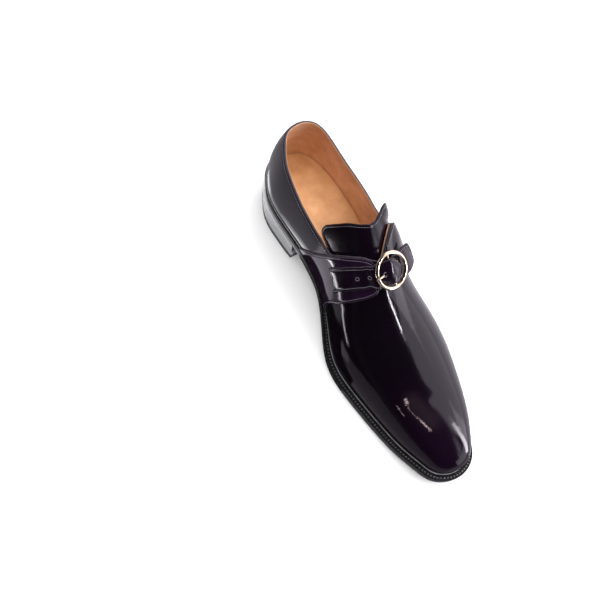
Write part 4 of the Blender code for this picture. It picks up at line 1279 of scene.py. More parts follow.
# ---- the upper ---------------------------------------------------------------
@dataclass
class Upper:
    """Vamp and quarters as one hollow shell, lined, with a sewn collar.

    Attributes:
        wall: Thickness of leather and lining together.
        rows: Even steps up each section outside, and inner_rows inside.
        rim_lines: Distances of more lines below the collar's edge, and inner_lines inside.
        dark_rim: Inked steps over that edge: medial facing, quarters, lateral facing.
        roll: How far the edge is rolled inwards, over the roll_width.
        seam: How far below the edge its stitches lie, in a groove.
        trough_from: Along and side where the trough behind the toe puff starts.
        facing_from: Along from which the edge is a facing's.
    """

    wall: float = 2.2
    sections: int = 620
    rows: int = 62
    inner_rows: int = 26
    rim_lines: tuple[float, ...] = (0, 0.12, 0.35, 0.7, 1.1, 1.6, 2.1, 2.5, 2.8, 3.1, 3.5, 4.2, 5.2)
    inner_lines: tuple[float, ...] = (0, 1.0, 2.5)
    rim_steps: int = 7
    rim_bulge: float = 0.45
    dark_rim: tuple[int, int, int] = (9, 5, 2)
    roll: float = 0.32
    roll_width: float = 1.2
    seam: float = 2.8
    groove: float = 0.20
    spread: float = 0.5
    trough_from: tuple[float, float] = (229.0, -23.0)
    trough_to: tuple[float, float] = (240.0, -2.0)
    trough_width: float = 6.5
    trough_depth: float = 0.34
    facing_from: float = 104.0
    thread: Thread = Thread(2.4, 1.5, 0.50, 0.36)

    def build(self, finishes: Finishes) -> None:
        """Make the shell and its seams."""
        turns = self._turns()
        tops = LAST.collar_share(turns)
        self._shell(turns, tops, finishes)
        self._collar_seam(turns[tops < 1], finishes)
        self._back_seam(finishes)
        self._inseam_highlight(finishes)

    def _turns(self) -> Array:
        """Turns of the sections, with one on each side just where the throat closes."""
        limit = float(turn_at(THROAT))
        even = np.linspace(-math.pi, math.pi, self.sections, endpoint=False)
        step = even[1] - even[0]
        kept = even[np.abs(np.abs(even) - limit) > 0.4 * step]
        return np.sort(np.concatenate([kept, [-limit, limit]]))

    def _spread(self, turns: Array, tops: Array, near: Sequence[float], count: int) -> tuple[Array, Array]:
        """Grids of turns and shares up each section, even in length, with lines near the collar."""
        ramp = np.linspace(0, 1, 90)
        length = run_along(LAST.skin(turns[:, None], ramp[None] * tops[:, None]))
        at = bordered(length[:, -1], count, np.zeros(0), np.array(near)) * length[:, -1:]
        shares = np.stack([np.interp(row, span, ramp * top) for row, span, top in zip(at, length, tops)])
        return np.repeat(turns[:, None], shares.shape[1], axis=1), shares

    def _shell(self, turns: Array, tops: Array, finishes: Finishes) -> None:
        """The shell: outer face, rolled rim and lining."""
        outer = self._outer_face(turns, tops)
        spread, shares = self._spread(turns, tops, self.inner_lines, self.inner_rows)
        inner = LAST.skin(spread, shares[:, ::-1], -self.wall)
        inner[:, -1, 2] = outer[:, 0, 2]
        is_open = tops < 1
        loops = np.concatenate([outer, self._rim(outer, inner, is_open), inner], axis=1)
        faces, slots = self._shell_faces(turns, is_open, loops.shape[1], outer.shape[1])
        piece = make_piece("vamp_and_quarters", loops, faces,
                           [finishes.calf, finishes.lining, finishes.cut], slots, sharp=70)
        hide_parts("upper")

    def _outer_face(self, turns: Array, tops: Array) -> Array:
        """Grid of points of the outside, from the feather line up to the collar."""
        spread, shares = self._spread(turns, tops, self.rim_lines, self.rows)
        outer = LAST.skin(spread, shares)
        rim_line = resampled(LAST.skin(turns, tops)[tops < 1], 0.5, closed=True)
        distance = np.full(shares.shape, FAR_OFF)
        columns = slice(shares.shape[1] - len(self.rim_lines) - 14, None)
        distance[:, columns] = nearest(outer[:, columns], rim_line)
        lift = -self.roll * (1 - np.clip(distance / self.roll_width, 0, 1)) ** 2
        lift -= self.groove * np.exp(-((distance - self.seam) / self.spread) ** 2)
        lift -= self._trough(outer, shares)
        return outer + LAST.normal(spread, shares) * lift[..., None]

    def _rim(self, outer: Array, inner: Array, is_open: Array) -> Array:
        """Grid of points over the collar's edge, from the outside to the lining."""
        first, last = outer[:, -1:], inner[:, :1]
        beyond = unit(outer[:, -1:] - outer[:, -4:-3])
        t = ((np.arange(self.rim_steps) + 1) / (self.rim_steps + 1))[None, :, None]
        bulge = np.where(is_open, self.rim_bulge, 0.0)[:, None, None] * np.sin(math.pi * t) ** 0.6
        return first * (1 - t) + last * t + beyond * bulge

    def _shell_faces(self, turns: Array, is_open: Array, count: int,
                     outer_count: int) -> tuple[list[tuple[int, ...]], Array]:
        """Faces of the shell and which finish each wears.

        Args:
            turns: Turns of its sections.
            is_open: Whether each section ends at the collar.
            count: Points in each section.
            outer_count: How many of them are outside.

        Returns:
            The faces, and 0 for calf, 1 for lining or 2 for the cut edge on each.
        """
        facing = np.where(np.abs(turns) > float(turn_at(self.facing_from)), np.sign(turns), 0)
        dark_until = outer_count + np.array(self.dark_rim)[facing.astype(int) + 1]
        row, column = np.divmod(np.arange(len(turns) * count), count)
        on_rim = (column >= outer_count - 1) & (column < outer_count + self.rim_steps)
        kept = ~on_rim | (is_open | np.roll(is_open, -1))[row]
        outside = (column < outer_count - 1) | (column == count - 1)
        slots = np.where(outside, 0, np.where(column < dark_until[row], 2, 1))
        faces = [face for face, keep in zip(loop_faces(len(turns), count, True), kept) if keep]
        return faces, slots[kept]

    def _trough(self, points: Array, shares: Array) -> Array:
        """Depth of the soft trough behind the toe puff."""
        start, end = np.array(self.trough_from), np.array(self.trough_to)
        way = end - start
        past = points[..., :2] - start
        share = np.clip(past @ way / (way @ way), 0, 1)
        off = np.linalg.norm(past - share[..., None] * way, axis=-1)
        return self.trough_depth * np.exp(-(off / self.trough_width) ** 2) * eased(shares, 0.35, 0.6)

    def _inseam_highlight(self, finishes: Finishes) -> None:
        """A thin pale grey tube where the upper meets the welt and the rand: a painted highlight."""
        turns = np.linspace(-math.pi, math.pi, self.sections, endpoint=False)
        plan = LAST.feather(turns, np.full_like(turns, 0.22))
        height = LAST.tread(plan[:, 0]) + FEATHER_RISE + 0.1
        line = np.concatenate([plan, height[:, None]], axis=1)
        up = np.array([0.0, 0.0, 1.0])
        piece = make_tube("inseam_highlight_line", line, 0.30, 8, up, finishes.inseam_highlight, closed=True)

    def _collar_seam(self, turns: Array, finishes: Finishes) -> None:
        """Stitches along the collar, from one facing round the heel to the other."""
        tops = LAST.collar_share(turns)
        rim, up = LAST.skin(turns, tops), LAST.normal(turns, tops)
        down = unit(np.cross(up, headings(rim)))
        down = down * -np.sign(down[:, 2:].sum())
        path = rim + down * self.seam - up * (self.groove - 0.05)
        kept = nearest(path, resampled(rim, 0.4)) > self.seam * 0.95
        row = self.thread.sew("collar_stitches", path[kept], up[kept], finishes.thread)

    def _back_seam(self, finishes: Finishes) -> None:
        """The closed seam down the back of the heel, sewn once on each side."""
        shares = np.linspace(0.03, float(LAST.collar_share(np.zeros(1))[0]) - 0.035, 60)
        turn = np.zeros_like(shares)
        line = LAST.skin(turn, shares)
        up = LAST.normal(turn, shares)
        piece = make_tube("back_seam", line, np.array([[0.5, 0.16]] * len(line)), 8,
                          np.array([0.0, 1.0, 0.0]), finishes.calf)
        for side, name in ((-1, "medial"), (1, "lateral")):
            path = line + np.array([0.0, 1.7 * side, 0.0]) + up * 0.02
            path[:, 0] += 0.06
            self.thread.sew(f"back_stitches_{name}", path, up, finishes.thread)


@dataclass
class Tab:
    """A panel laid over the upper, from the sole up to its rounded end.

    Attributes:
        columns: Its back and front edges on the skin.
        side: Minus one medially, one laterally.
    """

    name: str
    node: str
    columns: Table
    side: int
    lift: float = 0.05
    edge: Edge = Edge(thick=1.5)
    thread: Thread = Thread(2.2, 1.6, 0.38, 0.32)
    steps: tuple[int, int] = (70, 26)

    def _grid(self) -> tuple[Array, Array]:
        """Turns and shares of the panel's points."""
        rows = np.arange(len(self.columns["back"]), dtype=float)
        fine = np.linspace(0, rows[-1], 240)
        edges = {key: Curve(rows, values) for key, values in self.columns.items()}

        def place(at: Array, across: Array) -> tuple[Array, Array]:
            """Turns and shares of places up and across it."""
            along = edges["back"](at) * (1 - across) + edges["front"](at) * across
            share = edges["back_share"](at) * (1 - across) + edges["front_share"](at) * across
            return self.side * turn_at(along), share

        middle = LAST.skin(*place(fine, np.full_like(fine, 0.5)))
        length = run_along(middle)
        near = self.edge.steps
        even = bordered(length[-1], self.steps[0], np.zeros(0), near)[0]
        at = np.interp(even * length[-1], length, fine)
        back = LAST.skin(*place(at, np.zeros_like(at)))
        front = LAST.skin(*place(at, np.ones_like(at)))
        across = bordered(np.linalg.norm(front - back, axis=1), self.steps[1], near, near)
        return place(np.repeat(at[:, None], across.shape[1], axis=1), across)

    def build(self, finishes: Finishes, finish: Material) -> None:
        """Make the panel and its seam.

        Args:
            finishes: Every material of the shoe.
            finish: The panel's own leather.
        """
        turn, share = self._grid()
        sheet = Sheet(LAST.skin(turn, share, self.lift), LAST.normal(turn, share), self.edge)
        piece = sheet.piece(self.name, [finish, finishes.cut])
        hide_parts(self.node)
        path, up = sheet.inset(trim=2.0)
        self.thread.sew(f"{self.name}_stitches", path, up, finishes.thread)


@dataclass
class Tongue:
    """Tongue under the facings, standing up into the collar opening.

    Attributes:
        end: How far along it reaches under the vamp.
        gap: Room between it and the upper's outer face, above its own thickness.
    """

    end: float = 160.0
    gap: float = 3.1
    edge: Edge = Edge(thick=1.6, foot=0.6, round_over=0.7, seam=2.0, groove=0.08)
    thread: Thread = Thread(2.1, 1.5, 0.36, 0.30)
    steps: tuple[int, int] = (120, 34)

    def build(self, finishes: Finishes) -> None:
        """Make the tongue, lined underneath, with the stitches along its top."""
        top = Curve(TONGUE["around"], TONGUE["top"])
        first, last = TONGUE["around"][0], TONGUE["around"][-1]
        fine = np.linspace(first, last, 400)
        length = run_along(self._skin(top(fine), fine))
        share = bordered(length[-1], self.steps[0], self.edge.steps, self.edge.steps)[0]
        around = np.interp(share * length[-1], length, fine)[None, :]
        depth = bordered(self.end - top(around[0]), self.steps[1], self.edge.steps, np.zeros(0)).T
        along = top(around) * (1 - depth) + self.end * depth
        spread = around + 0 * along
        base = self._skin(along, spread)
        sheet = Sheet(base, unit(LAST.normal(*LAST.crossed(along, spread))), self.edge, Tucked.LAST)
        piece = sheet.piece("tongue_leather", [finishes.tongue_calf, finishes.calf, finishes.lining])
        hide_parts("tongue")
        path, up = sheet.inset(trim=22.0)
        self.thread.sew("tongue_stitches", path, up, finishes.thread)

    def _skin(self, along: Array, around: Array) -> Array:
        """Points of the tongue's under face."""
        turn, share = LAST.crossed(along, around)
        points = LAST.skin(turn, share, -self.gap - self.edge.thick)
        points[..., 1] += LAST.gape("tongue", around - 1, along, 2 - around)
        return points


# ---- strap and buckle --------------------------------------------------------
@dataclass(frozen=True)
class RingFrame:
    """Where the ring lies and which way it faces, with the radii of its parts."""

    centre: Place = (145.7, 4.6, 94.2)
    facing: Place = (0.589, 0.162, 0.792)
    radius: float = 13.8
    wire: float = 1.5
    bar: float = 1.0
    bar_drop: float = 0.6

    def axes(self) -> tuple[Array, Array, Array]:
        """Across to lateral, along the bar to the heel, and out of the face."""
        face = unit(np.array(self.facing))
        sideways = np.array([0.0, 1.0, 0.0])
        across = unit(sideways - face * np.dot(sideways, face))
        return across, np.cross(face, across), face

    def at(self, reach: Array, way: Array, rise: Array) -> Array:
        """Point measured from the ring's middle: across, along the bar, above."""
        across, bar, face = self.axes()
        parts = [np.asarray(value, float)[..., None] for value in np.broadcast_arrays(reach, way, rise)]
        return np.array(self.centre) + parts[0] * across + parts[1] * bar + parts[2] * face


RING = RingFrame()


@dataclass
class Strap:
    """Strap sewn to its panel, arched over the bar, through the ring to its free end.

    Attributes:
        drop: How far its under face sinks into what it lies on.
        hole: Radius of its free holes.
        prong_reach: Where the prong's hole lies across the ring.
        box_inset: Distance from the sewn end to the row that closes its stitched box.
    """

    drop: float = 0.28
    hole: float = 1.25
    prong_hole: float = 1.6
    prong_reach: float = -7.9
    rim_wire: float = 0.24
    box_inset: float = 5.6
    edge: Edge = Edge(thick=2.18, foot=0.62, round_over=0.8, seam=1.9, groove=0.20)
    thread: Thread = Thread(2.1, 1.55, 0.38, 0.32)
    steps: tuple[int, int] = (150, 12)

    def _rows(self) -> list[Array]:
        """Back edge, middle and front edge of the strap's under face."""
        sewn, free = STRAP_SEWN, STRAP_FREE
        middle = (sewn["back"] + sewn["front"]) / 2
        rows = [LAST.skin(-turn_at(edge), sewn["share"], sewn["lift"])
                for edge in (sewn["back"], middle, sewn["front"])]
        centre = (free["back"] + free["front"]) / 2
        ends = [RING.at(free["reach"], edge, rise)
                for edge, rise in ((free["back"], free["edge_rise"]), (centre, free["middle_rise"]),
                                   (free["front"], free["edge_rise"]))]
        return [np.concatenate([row, end]) for row, end in zip(rows, ends)]

    def build(self, finishes: Finishes) -> None:
        """Make the strap, punch its holes and sew it."""
        under, up, at = self._under()
        sheet = Sheet(under - up * self.drop, up, self.edge, Tucked.NEITHER)
        piece = sheet.piece("strap_leather", [finishes.strap_calf, finishes.cut])
        for i, spot in enumerate(self._spots(under, up)):
            self._punch(piece, *spot)
            self._rim(f"strap_hole_rim_{i + 1}", *spot, finishes)
        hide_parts("strap")
        path, ways = sheet.inset()
        row = self.thread.sew("strap_stitches", path, ways, finishes.thread, closed=True)
        self._box_seam(sheet, at, finishes)

    def _under(self) -> tuple[Array, Array, Array]:
        """Grids of its under face and outward directions, and how far along each row lies."""
        edges = self._rows()
        knots = run_along(edges[1])
        near = self.edge.steps
        at = bordered(knots[-1], self.steps[0], near, near)[0] * knots[-1]
        lines = [np.stack([Curve(knots, column, Fit.SMOOTH)(at) for column in edge.T], -1) for edge in edges]
        across = lines[0] - lines[2]
        v = bordered(np.linalg.norm(across, axis=1), self.steps[1], near, near)[..., None]
        weights = (2 * (v - 0.5) * (v - 1), -4 * v * (v - 1), 2 * v * (v - 0.5))
        under = sum(weight * line[:, None] for weight, line in zip(weights, lines))
        up = unit(np.cross(across[:, None], np.gradient(lines[1], at, axis=0)[:, None]))
        return under, np.broadcast_to(up * np.sign(up[..., 2:]), under.shape), at

    def _spots(self, under: Array, up: Array) -> list[tuple[Array, Array, float]]:
        """Place, direction and radius of every hole, the prong's last."""
        middle = under.shape[1] // 2
        spots = []
        for share, along in zip(STRAP_HOLES["share"], STRAP_HOLES["along"]):
            target = LAST.skin(-turn_at(along), share, 2.0)
            k = int(np.argmin(np.linalg.norm(under[:, middle] - target, axis=1)))
            spots.append((under[k, middle], up[k, middle], self.hole))
        return [*spots, (RING.at(self.prong_reach, 0.0, 0.0), RING.axes()[2], self.prong_hole)]

    def _box_seam(self, sheet: Sheet, at: Array, finishes: Finishes) -> None:
        """The second row across the sewn end, which closes its stitched box."""
        k = int(np.searchsorted(at, self.box_inset))
        inner = sheet.distance[k] > self.edge.seam * 0.9
        ways = sheet.up[k][inner]
        path = sheet.base[k][inner] + ways * (self.edge.thick + THREAD_PROUD / 2)
        self.thread.sew("strap_box_stitches", path, ways, finishes.thread)

    def _rim(self, name: str, base: Array, way: Array, radius: float, finishes: Finishes) -> None:
        """The soft rim that the punch leaves round a hole, in pale grey calf as a painted highlight."""
        way = unit(way)
        side = unit(np.cross(way, np.array([0.0, 1.0, 0.2])))
        front = np.cross(way, side)
        angles = ring_angles(40)[:, None]
        centre = base + way * (self.edge.thick - self.drop - 0.04)
        path = centre + (radius + 0.16) * (np.cos(angles) * side + np.sin(angles) * front)
        rim = make_tube(name, path, self.rim_wire, 12, way, finishes.wear_and_sheen, closed=True)

    @staticmethod
    def _punch(piece: Piece, base: Array, way: Array, radius: float) -> None:
        """Cut a round hole through the strap."""
        way = unit(way)
        path = np.array([base - way * 4, base, base + way * 6])
        loops = tube_loops(path, radius, 28, False, np.array([0.3, 0.9, 0.1]))
        faces = loop_faces(len(path), 28, False, (True, True))
        mesh = new_mesh("punch", placed(loops).reshape(-1, 3).tolist(), faces)
        clean(mesh)
        tool = stood("punch", mesh)
        change = piece.modifiers.new("Hole", "BOOLEAN")
        change.operation, change.solver, change.object = "DIFFERENCE", "EXACT", tool
        bpy.context.view_layer.update()
        result = bpy.data.meshes.new_from_object(piece.evaluated_get(bpy.context.evaluated_depsgraph_get()))
        piece.modifiers.remove(change)
        piece.data = result
        bpy.data.objects.remove(tool, do_unlink=True)
        result.set_sharp_from_angle(angle=math.radians(50))


@dataclass
class Buckle:
    """Round ring with its bar, the prong on it and the leather keeper."""

    ring_steps: int = 144
    bar_steps: int = 40
    facets: int = 28
    eye_wire: float = 0.55
    eye_gap: float = 0.25
    prong_wire: float = 0.7
    tip: float = 0.35

    def build(self, finishes: Finishes) -> None:
        """Make ring, bar and prong, and dress the leather keeper."""
        angles = ring_angles(self.ring_steps)
        circle = RING.at(RING.radius * np.cos(angles), RING.radius * np.sin(angles), 0 * angles)
        face = RING.axes()[2]
        ring = make_tube("ring", circle, RING.wire, self.facets, face, finishes.brass, closed=True)
        way = np.linspace(-RING.radius, RING.radius, self.bar_steps)
        sag = -RING.bar_drop * (1 - (way / RING.radius) ** 4)
        bar = make_tube("ring_bar", RING.at(0 * way, way, sag), RING.bar, 20, face, finishes.brass)
        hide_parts("buckle_ring")
        self._prong(finishes)
        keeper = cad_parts["buckle_keeper"]
        keeper.data.materials.clear()
        keeper.data.materials.append(finishes.calf)
        soften = keeper.modifiers.new("Soft edges", "BEVEL")
        soften.width, soften.segments, soften.limit_method = 0.00022, 3, "ANGLE"
        LOG.info("%s: dressed, with softened edges", keeper.name)

    def _prong(self, finishes: Finishes) -> None:
        """The prong, from its eye round the bar to its tip on the ring."""
        bar_way = RING.axes()[1]
        radius = RING.bar + self.eye_gap + self.eye_wire
        angles = ring_angles(48)
        loop = RING.at(radius * np.cos(angles), 0 * angles, -RING.bar_drop + radius * np.sin(angles))
        eye = make_tube("prong_eye", loop, self.eye_wire, 14, bar_way, finishes.brass, closed=True)
        knots = np.arange(len(PRONG["reach"]), dtype=float)
        fine = np.linspace(0, knots[-1], 70)
        reach, rise, width = (Curve(knots, column, Fit.SMOOTH)(fine) for column in PRONG.values())
        past = ((fine - fine[-1] + self.tip) / self.tip).clip(0)
        slim = np.maximum(np.sqrt(np.clip(1 - past ** 2, 0.0, 1)), 0.08)
        prong = make_tube("prong", RING.at(reach, 0 * reach, rise), self.prong_wire * width * slim, 16,
                          bar_way, finishes.brass)
        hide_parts("buckle_prong")


# ---- sole and heel -----------------------------------------------------------
@dataclass
class Sole:
    """Outsole, welt, heel rand and the insole's sock."""

    sections: int = 260
    sock_sections: int = 160
    wheel_pitch: float = 2.6
    wheel_deep: float = 0.32
    welt_seam: float = 2.2
    thread: Thread = Thread(2.7, 1.45, 0.95, 0.60, slant=0.30)

    def build(self, finishes: Finishes) -> None:
        """Make every piece of the sole."""
        self._outsole(finishes)
        self._strips(finishes)
        self._sock(finishes)

    def _outsole(self, finishes: Finishes) -> None:
        """Full-length outsole with a trimmed and lightly rounded edge."""
        turns = np.linspace(0, math.pi, self.sections)
        rails = [Rail(past_edge(reach), above_tread(rise)) for reach, rise in SOLE_SHAPE]
        piece = plank("sole_leather", turns, rails, 24, [finishes.tread, finishes.edge], (0, 1, 1))
        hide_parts("outsole")

    def _strips(self, finishes: Finishes) -> None:
        """Welt from the waist round the toe, and the rand round the heel seat."""
        start, join = float(turn_at(WELT_START)), float(turn_at(WELT_START - FIT_GAP))
        low = SOLE_THICK + FIT_GAP
        for name, node, turns, finish in (
                ("welt_strip", "welt", np.linspace(start, 2 * math.pi - start, 1500), finishes.welt),
                ("rand_strip", "heel_rand", np.linspace(-join, join, 420), finishes.rand)):
            reach = LAST.sole_reach(turns)
            run = run_along(LAST.feather(turns, reach))
            wave = 0.5 - 0.5 * np.cos(2 * math.pi * run / self.wheel_pitch)
            dents = self.wheel_deep * wave ** 3
            columns = [self._line(turns, (reach + out) * share + first, low + rise - dents * dent)
                       for first, share, out, rise, dent in zip(*WELT_SHAPE.values())]
            loops = np.stack(columns, axis=1)
            faces = loop_faces(len(turns), len(columns), False, (True, True))
            piece = make_piece(name, loops, faces, [finish], sharp=40)
            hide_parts(node)
            if node == "welt":
                self._welt_seam(name, turns, reach, low + WELT_THICK, finishes)

    @staticmethod
    def _line(turns: Array, reach: Array, height: Array) -> Array:
        """A line of the welt at some reach and height over the tread."""
        plan = LAST.feather(turns, reach)
        return np.concatenate([plan, (LAST.tread(plan[..., 0]) + height)[..., None]], -1)

    def _welt_seam(self, name: str, turns: Array, reach: Array, height: float, finishes: Finishes) -> None:
        """Heavy stitches along the welt's upper face."""
        inside = np.maximum(reach - self.welt_seam, 0.35 * reach)
        path = self._line(turns, inside, height - 0.02 + 0 * reach)
        up = np.broadcast_to((0.0, 0.0, 1.0), path.shape)
        wide = reach > 2.4
        row = self.thread.sew(f"{name}_stitches", path[wide], up[wide], finishes.welt_thread)

    def _sock(self, finishes: Finishes) -> None:
        """Insole covered by its sock, a little dished."""
        turns = np.linspace(0, math.pi, self.sock_sections)
        low = SOLE_THICK + FIT_GAP
        rails = [Rail(level(reach), above_tread(low + rise)) for reach, rise in SOCK_SHAPE]
        piece = plank("sock", turns, rails, 16, [finishes.sock])
        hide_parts("insole")


@dataclass
class Heel:
    """Stacked heel with its lifts, and the nailed rubber top piece it stands on.

    Attributes:
        stack: Height over which the lifts are counted, and lift the height of one.
        groove: Depth of the nick between two lifts.
    """

    sections: int = 120
    rails: int = 44
    taper: float = 0.6
    top_piece: float = 6.0
    stack: float = 25.0
    lift: float = 4.0
    groove: float = 0.14
    groove_half: float = 0.35
    nails: int = 9
    nail_inset: float = 6.5
    nail_radius: float = 0.75

    def build(self, finishes: Finishes) -> None:
        """Make the lifts, the top piece and its nails."""
        turns = np.linspace(0, float(turn_at(HEEL_BREAST)), self.sections)
        low = self.top_piece + FIT_GAP
        shares = [k / self.rails for k in range(self.rails + 1)]
        rails = [Rail(self._reach(share), self._height(low, share)) for share in shares]
        stack = plank("heel_lifts", turns, rails, 12, [finishes.heel], capped=True)
        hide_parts("heel_base")
        rails = [Rail(level(reach), level(rise)) for reach, rise in TOP_PIECE_SHAPE]
        tread = plank("heel_top_piece", turns, rails, 12, [finishes.rubber], capped=True)
        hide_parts("top_piece")
        self._nails(finishes)

    def _reach(self, share: float) -> Measure:
        """Reach of the stack's side at a share of its height, nicked between lifts."""
        off = (share * self.stack + self.lift / 2) % self.lift - self.lift / 2
        nick = self.groove * math.exp(-(off / self.groove_half) ** 2)
        return lambda turn: -self.taper * (1 - share) + LAST.sole_reach(turn) * share - nick

    @staticmethod
    def _height(low: float, share: float) -> Measure:
        """Height of the stack's side at a share of its height."""
        return lambda along: low * (1 - share) + (LAST.tread(along) - FIT_GAP) * share

    def _nails(self, finishes: Finishes) -> None:
        """Small brass nails round the top piece's tread."""
        for i, turn in enumerate(np.linspace(-1.0, 1.0, self.nails) * 0.86 * float(turn_at(HEEL_BREAST))):
            along, side = LAST.feather(np.array(turn), np.array(-self.nail_inset))
            disc = np.array([[along, side, 0.02], [along, side, 0.25]])
            nail = make_tube(f"heel_nail_{i + 1}", disc, self.nail_radius, 14, np.array([1.0, 0.0, 0.0]),
                             finishes.brass)


# ---- the studio --------------------------------------------------------------
@dataclass(frozen=True)
class Panel:
    """A rectangular light, in metres and watts, which polished surfaces mirror where it is seen."""

    name: str
    place: Place
    aim: Place
    size: tuple[float, float]
    power: float
    seen: bool = True
    colour: Colour = (1.0, 1.0, 1.0)
    turn: float = 0.0

    def build(self) -> None:
        """Hang the light."""
        light = bpy.data.lights.new(self.name, "AREA")
        light.shape, light.size, light.size_y = "RECTANGLE", *self.size
        light.energy, light.color = self.power, self.colour
        lamp = stood(self.name, light)
        lamp.location = self.place
        lamp.rotation_mode = "QUATERNION"
        facing = (Vector(self.aim) - Vector(self.place)).to_track_quat("-Z", "Y")
        lamp.rotation_quaternion = facing @ Quaternion((0.0, 0.0, 1.0), self.turn)
        lamp.visible_glossy = self.seen
        lamp.visible_camera = False


@dataclass(frozen=True)
class Glow(Finish):
    """Even light of a card or a cloth, a little clouded."""

    dim: Colour
    light: Colour
    strength: float = 1.0
    clouds: tuple[float, float] = (6, 1)
    marks: tuple[float, float] = (0.3, 0.7)

    def lay(self, g: Graph) -> None:
        """Lay its nodes."""
        g.cloud("Emission Color", self.clouds, (self.marks[0], self.dim), (self.marks[1], self.light))
        g.fixed(Base_Color=(0.0, 0.0, 0.0, 1.0), Emission_Strength=self.strength, Specular_IOR_Level=0.0)


@dataclass(frozen=True)
class Card:
    """A glowing sheet on the floor, in metres, which only polished surfaces mirror: a painted reflection,
    dark ones standing for shaded floor and dark surroundings, pale ones for lit floor and lamps.
    """

    name: str
    corners: tuple[tuple[float, float], ...]
    shade: float
    tint: Colour = (0.96, 0.91, 1.0)

    def build(self, height: float) -> None:
        """Make the card, this far above the floor if it lies there."""
        dim = tuple(c * 0.93 for c in self.tint)
        finish = Glow(self.name, dim, self.tint, self.shade).material()
        card = stood(self.name, new_mesh(self.name, *self.shape(height), [finish]))
        card.visible_camera = card.visible_diffuse = card.visible_shadow = card.visible_transmission = False

    def shape(self, height: float) -> tuple[list[Place], list[tuple[int, ...]]]:
        """Its points and faces, lying on the floor."""
        return [(x, y, height) for x, y in self.corners], [tuple(range(len(self.corners)))]


@dataclass(frozen=True)
class Ribbon(Card):
    """A curved glowing strip that stands upright beside the toe: a painted highlight that only polished
    surfaces mirror.

    Attributes:
        stand: Where it stands along the shoe, in metres.
        outer: Sides and heights of its outer edge; the corners are its inner edge.
    """

    stand: float = -0.18
    outer: tuple[tuple[float, float], ...] = ((0.064, 0.026), (0.098, 0.040), (0.120, 0.056),
                                              (0.140, 0.082), (0.148, 0.118), (0.142, 0.154))
    steps: int = 60

    def shape(self, height: float) -> tuple[list[Place], list[tuple[int, ...]]]:
        """Its points and faces, upright between its two edges."""
        fine = np.linspace(0, len(self.corners) - 1, self.steps)
        knots = np.arange(len(self.corners), dtype=float)
        edges = [np.stack([Curve(knots, column)(fine) for column in zip(*edge)], -1)
                 for edge in (self.corners, self.outer)]
        points = [(float(x), self.stand, float(z)) for pair in zip(*edges) for x, z in pair]
        return points, [(2 * i, 2 * i + 1, 2 * i + 3, 2 * i + 2) for i in range(self.steps - 1)]


@dataclass(frozen=True)
class Flag(Card):
    """A small black flag that keeps the window strip off the tip of the toe."""

    place: Place = (0.043, -0.172, 0.088)
    facing: Place = (0.55, -0.52, 0.65)
    half: float = 0.022

    def shape(self, height: float) -> tuple[list[Place], list[tuple[int, ...]]]:
        """Its points and faces, square to the way it faces."""
        face = unit(np.array(self.facing))
        across = unit(np.cross(face, np.array([0.0, 0.0, 1.0])))
        up = np.cross(across, face)
        corners = ((-1, -1), (1, -1), (1, 1), (-1, 1))
        points = [tuple(np.array(self.place) + self.half * (a * across + b * up)) for a, b in corners]
        return points, [(0, 1, 2, 3)]


